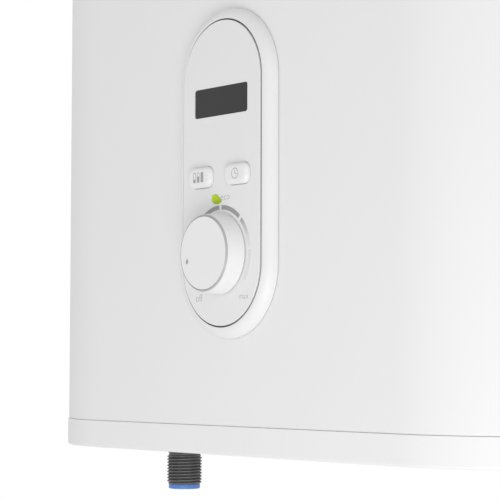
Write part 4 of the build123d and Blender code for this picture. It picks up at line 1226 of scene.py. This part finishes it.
def make_leaf():
    """Green lens, domed above the face, with its light guide."""
    guide_foot, top = panel_depths("eco_indicator")
    edge = face_top + LEAF_EDGE
    back = face_back - LEAF_FLANGE
    dome = [(LEAF_FLANGE, back), (LEAF_FLANGE, face_back), (0, face_back), (0, edge)]
    for k in range(1, DOME_STEPS):
        angle = math.radians(90 * k / DOME_STEPS)
        dome.append((-LEAF_DOME * (1 - math.cos(angle)), edge + (top - edge) * math.sin(angle)))
    place = on_panel_at(LEAF_SPOT)
    shells = [stack(place, leaf_outline, dome)]
    shells.append(prism(place, rectangle(LIGHT_GUIDE, LIGHT_GUIDE), guide_foot, back))
    make("leaf_lens_cap", shells, "leaf_green", "eco_indicator")


# Temperature knob
KNOB_WALL = 2.0 * MM
KNOB_FRONT_WALL = 2.4 * MM
KNOB_BAND = 4.0 * MM
KNOB_EDGE = 0.12 * MM
KNOB_FOOT_ROUND = 0.3 * MM
KNOB_HUB = 6.0 * MM
KNOB_BORE = 3.05 * MM
KNOB_STEPS = 144
KNOB_TRIM_WIDTH = 1.0 * MM
KNOB_TRIM_DEPTH = 0.8 * MM
KNOB_TRIM_ROUNDS = (0.15 * MM, 0.08 * MM)
KNOB_GROOVE = 0.28 * MM
KNOB_GROOVE_DEPTH = 0.95 * MM
KNOB_GROOVE_FLOOR = 0.15 * MM
DIMPLE_RADIUS = 1.45 * MM
DIMPLE_DEPTH = 0.9 * MM
DIMPLE_FILL = 0.6 * MM
DIMPLE_ORBIT = 14.8 * MM
DIMPLE_ANGLE = 196.0
DIMPLE_STEPS = 48
BALL_ANGLES = range(-88, 89, 4)


def knob_outline(radius):
    """Round outline, fine enough for the knob."""
    return circle(radius, KNOB_STEPS)


def dimple_outline(radius):
    """Round outline, coarse enough for the dimple."""
    return circle(radius, DIMPLE_STEPS)


def make_knob():
    """Tapered knob with its filled index dimple, and the grey ring on its front edge."""
    foot, front = panel_depths("temperature_knob")
    base, rim = right_end("temperature_knob"), right_end("knob_trim_ring")
    place = on_panel_at(knob_spot)
    seat, hollow = front - KNOB_GROOVE_DEPTH, front - KNOB_FRONT_WALL
    face = rim - KNOB_TRIM_WIDTH
    edge, step = face - HAIR_GAP, seat - HAIR_GAP
    shoulder = rim + (base - rim) * KNOB_GROOVE_DEPTH / (front - foot)
    corners = [
        (face - KNOB_BAND, front, 0), (edge, front, KNOB_EDGE), (edge, step, 0), (shoulder, step, KNOB_EDGE),
        (base, foot, KNOB_FOOT_ROUND), (base - KNOB_WALL, foot, 0), (rim - KNOB_WALL, hollow, 0),
        (2 * KNOB_HUB, hollow, 0),
    ]
    profile = rounded(corners, closed=False, hold=HOLD / 3, step=20)
    hub = [(KNOB_BORE, foot), (KNOB_HUB, foot), (KNOB_HUB, hollow), (KNOB_BORE, hollow)]
    shells = [stack(place, knob_outline, profile), stack(place, circle, hub, hollow=True)]
    turn = math.radians(DIMPLE_ANGLE)
    dimple_u = knob_spot[0] + DIMPLE_ORBIT * math.cos(turn)
    dimple_v = knob_spot[1] + DIMPLE_ORBIT * math.sin(turn)
    dimple_place = on_panel_at((dimple_u, dimple_v))
    dimple_floor = front - DIMPLE_DEPTH
    radius = (DIMPLE_RADIUS**2 + DIMPLE_DEPTH**2) / (2 * DIMPLE_DEPTH)
    turns = [math.radians(angle) for angle in BALL_ANGLES]
    ball = [(radius * math.cos(t), dimple_floor + radius + radius * math.sin(t)) for t in turns]
    dimple = stack(dimple_place, dimple_outline, ball)
    make("knob_cap", shells, "button_white", "temperature_knob", "knob", [dimple])
    fill = [(r - HAIR_GAP / 5, w) for r, w in ball if w < dimple_floor + DIMPLE_FILL]
    mark = stack(dimple_place, dimple_outline, fill)
    make("knob_index_mark", [mark], "trim_grey", body="knob", finish=INK_GREY)
    inner, floor = face + KNOB_GROOVE, seat + KNOB_GROOVE_FLOOR
    side_round, front_round = KNOB_TRIM_ROUNDS
    corners = [
        (face, seat, 0), (rim, seat, 0), (rim, front - KNOB_TRIM_DEPTH, side_round),
        (inner, front, front_round), (inner, floor, 0), (face, floor, 0),
    ]
    ring = stack(place, knob_outline, rounded(corners, step=12), hollow=True)
    make("knob_edge_ring", [ring], "trim_grey", "knob_trim_ring", "knob")


# Printed marks
DIAL_RADIUS = 24.9 * MM
DIAL_WIDTH = 2.4 * MM
DIAL_COUNT = 6
DIAL_END = -37.5
DIAL_PITCH = 42.5
DIAL_GAP = 4.2


def make_dial():
    """Six printed segments round the knob."""
    thing = place_object("dial_scale", bpy.data.meshes.new("dial_scale"))
    centre = on_panel(*knob_spot, face_top + INK / 2)
    dial_recipe().apply(thing, {
        "Radius": DIAL_RADIUS, "Width": DIAL_WIDTH, "Thickness": INK, "Start": math.radians(DIAL_END),
        "Pitch": math.radians(DIAL_PITCH), "Gap": math.radians(DIAL_GAP), "Count": DIAL_COUNT,
        "Centre": tuple(centre), "Tilt": (math.pi / 2, 0.0, 0.0), "Material": DIAL_INK,
    })
    finish_piece(thing, "trim_grey", finish=DIAL_INK)


# Each word with the spot of its middle and its width
WORDS = {
    "eco": (4.2 * MM, -13.8 * MM, 7.6 * MM),
    "off": (-18.3 * MM, -66.9 * MM, 6.0 * MM),
    "max": (20.2 * MM, -67.2 * MM, 7.8 * MM),
}
STROKE_OFFSET = -0.012     # thins the strokes, as a share of the letters' height


def make_words():
    """Words on the face, each centred on a spot and set to a width."""
    for text, (u, v, width) in WORDS.items():
        letters = bpy.data.curves.new(text, "FONT")
        letters.body = text
        letters.resolution_u = 6
        letters.offset = STROKE_OFFSET
        letters.extrude = 0.5    # to each side, so that the letters are one unit thick
        thing = place_object(f"word_{text}", letters)
        mesh = plain_mesh(thing)
        bpy.data.objects.remove(thing)
        xs = [p.co.x for p in mesh.vertices]
        ys = [p.co.y for p in mesh.vertices]
        size = width / (max(xs) - min(xs))
        centre = Vector(((max(xs) + min(xs)) / 2, (max(ys) + min(ys)) / 2, 0))
        spot = Matrix.Translation(on_panel(u, v, face_top + INK / 2))
        flat = Matrix.Diagonal((size, size, INK, 1))
        mesh.transform(spot @ Matrix.Rotation(math.pi / 2, 4, "X") @ flat @ Matrix.Translation(-centre))
        finish_piece(place_object(f"word_{text}", mesh), "trim_grey", finish=WORD_INK)


BAR_SPACING = 3.3 * MM
BAR_HALF_WIDTH = 1.15 * MM
BAR_HALF_HEIGHT = 2.75 * MM
BAR_LINE = 0.35 * MM
BAR_ROUNDS = (0.5 * MM, 0.2 * MM, 0.1 * MM)
BAR_FILLS = (0.3, 0.62, 1.0)
CLOCK_RADIUS = 2.85 * MM
CLOCK_LINE = 0.33 * MM
CLOCK_HAND = 0.62 * CLOCK_RADIUS
CLOCK_SHIFT = 0.5 * MM
CLOCK_STEPS = 64


def ink_plate(place, outline, inner=None):
    """Flat printed area on a button, solid or as a frame."""
    top = button_top + INK
    if inner is None:
        return prism(place, outline, button_top, top)
    edges = [(outline, button_top), (outline, top), (inner, top), (inner, button_top)]
    return skin([loop(place, edge, w) for edge, w in edges], hollow=True)


def level_bar(u, v, fill):
    """One bar of the level symbol: its frame and the share of it that is full."""
    frame_round, inner_round, fill_round = BAR_ROUNDS
    outline = rectangle(BAR_HALF_WIDTH, BAR_HALF_HEIGHT, frame_round, step=30)
    if fill == 1:
        return [ink_plate(on_panel_at((u, v)), outline)]
    half_u, half_v = BAR_HALF_WIDTH - BAR_LINE, BAR_HALF_HEIGHT - BAR_LINE
    inner = rectangle(half_u, half_v, inner_round, step=30)
    full = rectangle(half_u, half_v * fill, fill_round, step=45)
    full_place = on_panel_at((u, v - half_v * (1 - fill)))
    return [ink_plate(on_panel_at((u, v)), outline, inner), ink_plate(full_place, full)]


def make_symbols():
    """Level bars on the left button and a clock on the right one."""
    u, v = button_spots["left"]
    bars = [level_bar(u + (k - 1) * BAR_SPACING, v, fill) for k, fill in enumerate(BAR_FILLS)]
    shells = [shell for bar in bars for shell in bar]
    make("left_button_symbol", shells, "trim_grey", body="left_push_button", finish=INK_GREY)
    u, v = button_spots["right"]
    place = on_panel_at((u + CLOCK_SHIFT, v))
    half, run, drop = CLOCK_LINE / 2, 0.7 * CLOCK_HAND, 0.3 * CLOCK_HAND
    long_hand = [(-half, -half), (half, -half), (half, CLOCK_HAND), (-half, CLOCK_HAND)]
    short_hand = [(half, -half), (half + run, -half - drop), (half + run, half - drop), (half, half)]
    rim = (circle(CLOCK_RADIUS, CLOCK_STEPS), circle(CLOCK_RADIUS - CLOCK_LINE, CLOCK_STEPS))
    shells = [ink_plate(place, *rim), ink_plate(place, long_hand), ink_plate(place, short_hand)]
    make("right_button_symbol", shells, "trim_grey", body="right_push_button", finish=PALE_INK)


# Camera, light and floor
CAMERA_SPOT = (0.790, -0.8765, -0.380)
CAMERA_YAW = 51.28
CAMERA_PITCH = 3.42
CAMERA_ROLL = 0.134
CAMERA_LENS = 135.0
SENSOR = 36.0


def make_camera():
    """Camera at the place and angle of the photograph."""
    yaw, pitch, roll = (math.radians(a) for a in (CAMERA_YAW, CAMERA_PITCH, CAMERA_ROLL))
    ahead = Vector((-math.sin(yaw) * math.cos(pitch), math.cos(yaw) * math.cos(pitch), math.sin(pitch)))
    right = Vector((math.cos(yaw), math.sin(yaw), 0))
    up = right.cross(ahead)
    across = right * math.cos(roll) + up * math.sin(roll)
    upright = up * math.cos(roll) - right * math.sin(roll)
    data = bpy.data.cameras.new("camera")
    data.lens = CAMERA_LENS
    data.sensor_width = SENSOR
    data.clip_start = 0.01
    camera = place_object("camera", data)
    axes = Matrix((across, upright, -ahead)).transposed().to_4x4()
    camera.matrix_world = Matrix.Translation(CAMERA_SPOT) @ axes
    bpy.context.scene.camera = camera


LAMP_SPOT = (0.76, -0.90, -0.92)
LAMP_TARGET = (0.0, -0.25, -0.3)
LAMP_SIZE = 0.7
LAMP_POWER = 5.4
WORLD_LIGHT = 0.72
FLOOR_DROP = 0.8
FLOOR_RADIUS = 3.0
FLOOR_GLOW = 0.72


def make_lamp():
    """Soft box in front of the heater, low on the right."""
    data = bpy.data.lights.new("right_softbox", "AREA")
    data.shape = "DISK"
    data.size = LAMP_SIZE
    data.energy = LAMP_POWER
    lamp = place_object("right_softbox", data)
    lamp.visible_camera = False
    aim = (Vector(LAMP_TARGET) - Vector(LAMP_SPOT)).to_track_quat("-Z", "Y").to_matrix().to_4x4()
    lamp.matrix_world = Matrix.Translation(LAMP_SPOT) @ aim


def background_rays(graph):
    """One for a camera, mirror or glass ray, and nought for the light that falls on the heater."""
    seen = graph.node("ShaderNodeLightPath", output="Is Camera Ray")
    for kind in ("Glossy", "Transmission"):
        seen = graph.math("MAXIMUM", seen, graph.node("ShaderNodeLightPath", output=f"Is {kind} Ray"))
    return seen


def make_world():
    """Soft even light, white where the camera or a reflection looks past the heater."""
    world = bpy.data.worlds.new("studio")
    bpy.context.scene.world = world
    world.use_nodes = True
    graph = Graph(world.node_tree)
    graph.tree.nodes.clear()
    light = graph.node("ShaderNodeBackground", {}, {"Color": grey(1.0), "Strength": WORLD_LIGHT})
    white = graph.node("ShaderNodeBackground", {}, {"Color": grey(1.0), "Strength": 1.0})
    both = graph.node("ShaderNodeMixShader", {}, {0: background_rays(graph), 1: light, 2: white})
    graph.node("ShaderNodeOutputWorld", {}, {"Surface": both})


def make_floor():
    """Pale floor below the hanging heater, clear from underneath, so that the heater shows from there."""
    finish = Finish("pale_floor")
    colour = finish.mix(finish.noise(3.0, 2.0), grey(0.84), grey(0.87))
    paint = {"Base Color": colour, "Roughness": 1.0, "Specular IOR Level": 0.0}
    cover = finish.node("ShaderNodeBsdfPrincipled", {}, paint)
    glow = finish.node("ShaderNodeEmission", {}, {"Color": grey(1.0), "Strength": 1.0})
    share = background_rays(finish) * FLOOR_GLOW
    both = finish.node("ShaderNodeMixShader", {}, {0: share, 1: cover, 2: glow})
    below = finish.node("ShaderNodeNewGeometry", output="Backfacing")
    clear = finish.node("ShaderNodeBsdfTransparent")
    whole = finish.node("ShaderNodeMixShader", {}, {0: below, 1: both, 2: clear})
    finish.node("ShaderNodeOutputMaterial", {}, {"Surface": whole})
    points = loop(on_axis(0, 0), circle(FLOOR_RADIUS), cad_box[0][2] - FLOOR_DROP)
    mesh = bpy.data.meshes.new("studio_floor")
    mesh.from_pydata(points, [], [tuple(range(len(points)))])
    mesh.materials.append(finish.material)
    place_object("studio_floor", mesh)


make_jacket()
make_caps()
make_connection("cold_inlet", "sleeve_blue")
make_connection("hot_outlet", "sleeve_red")
make_gland()
make_bracket("upper")
make_bracket("lower")
make_fasteners()
make_bezel()
make_face()
make_window()
make_button("left")
make_button("right")
make_leaf()
make_knob()
make_dial()
make_words()
make_symbols()
make_camera()
make_lamp()
make_world()
make_floor()

bpy.context.scene.view_settings.view_transform = "Standard"
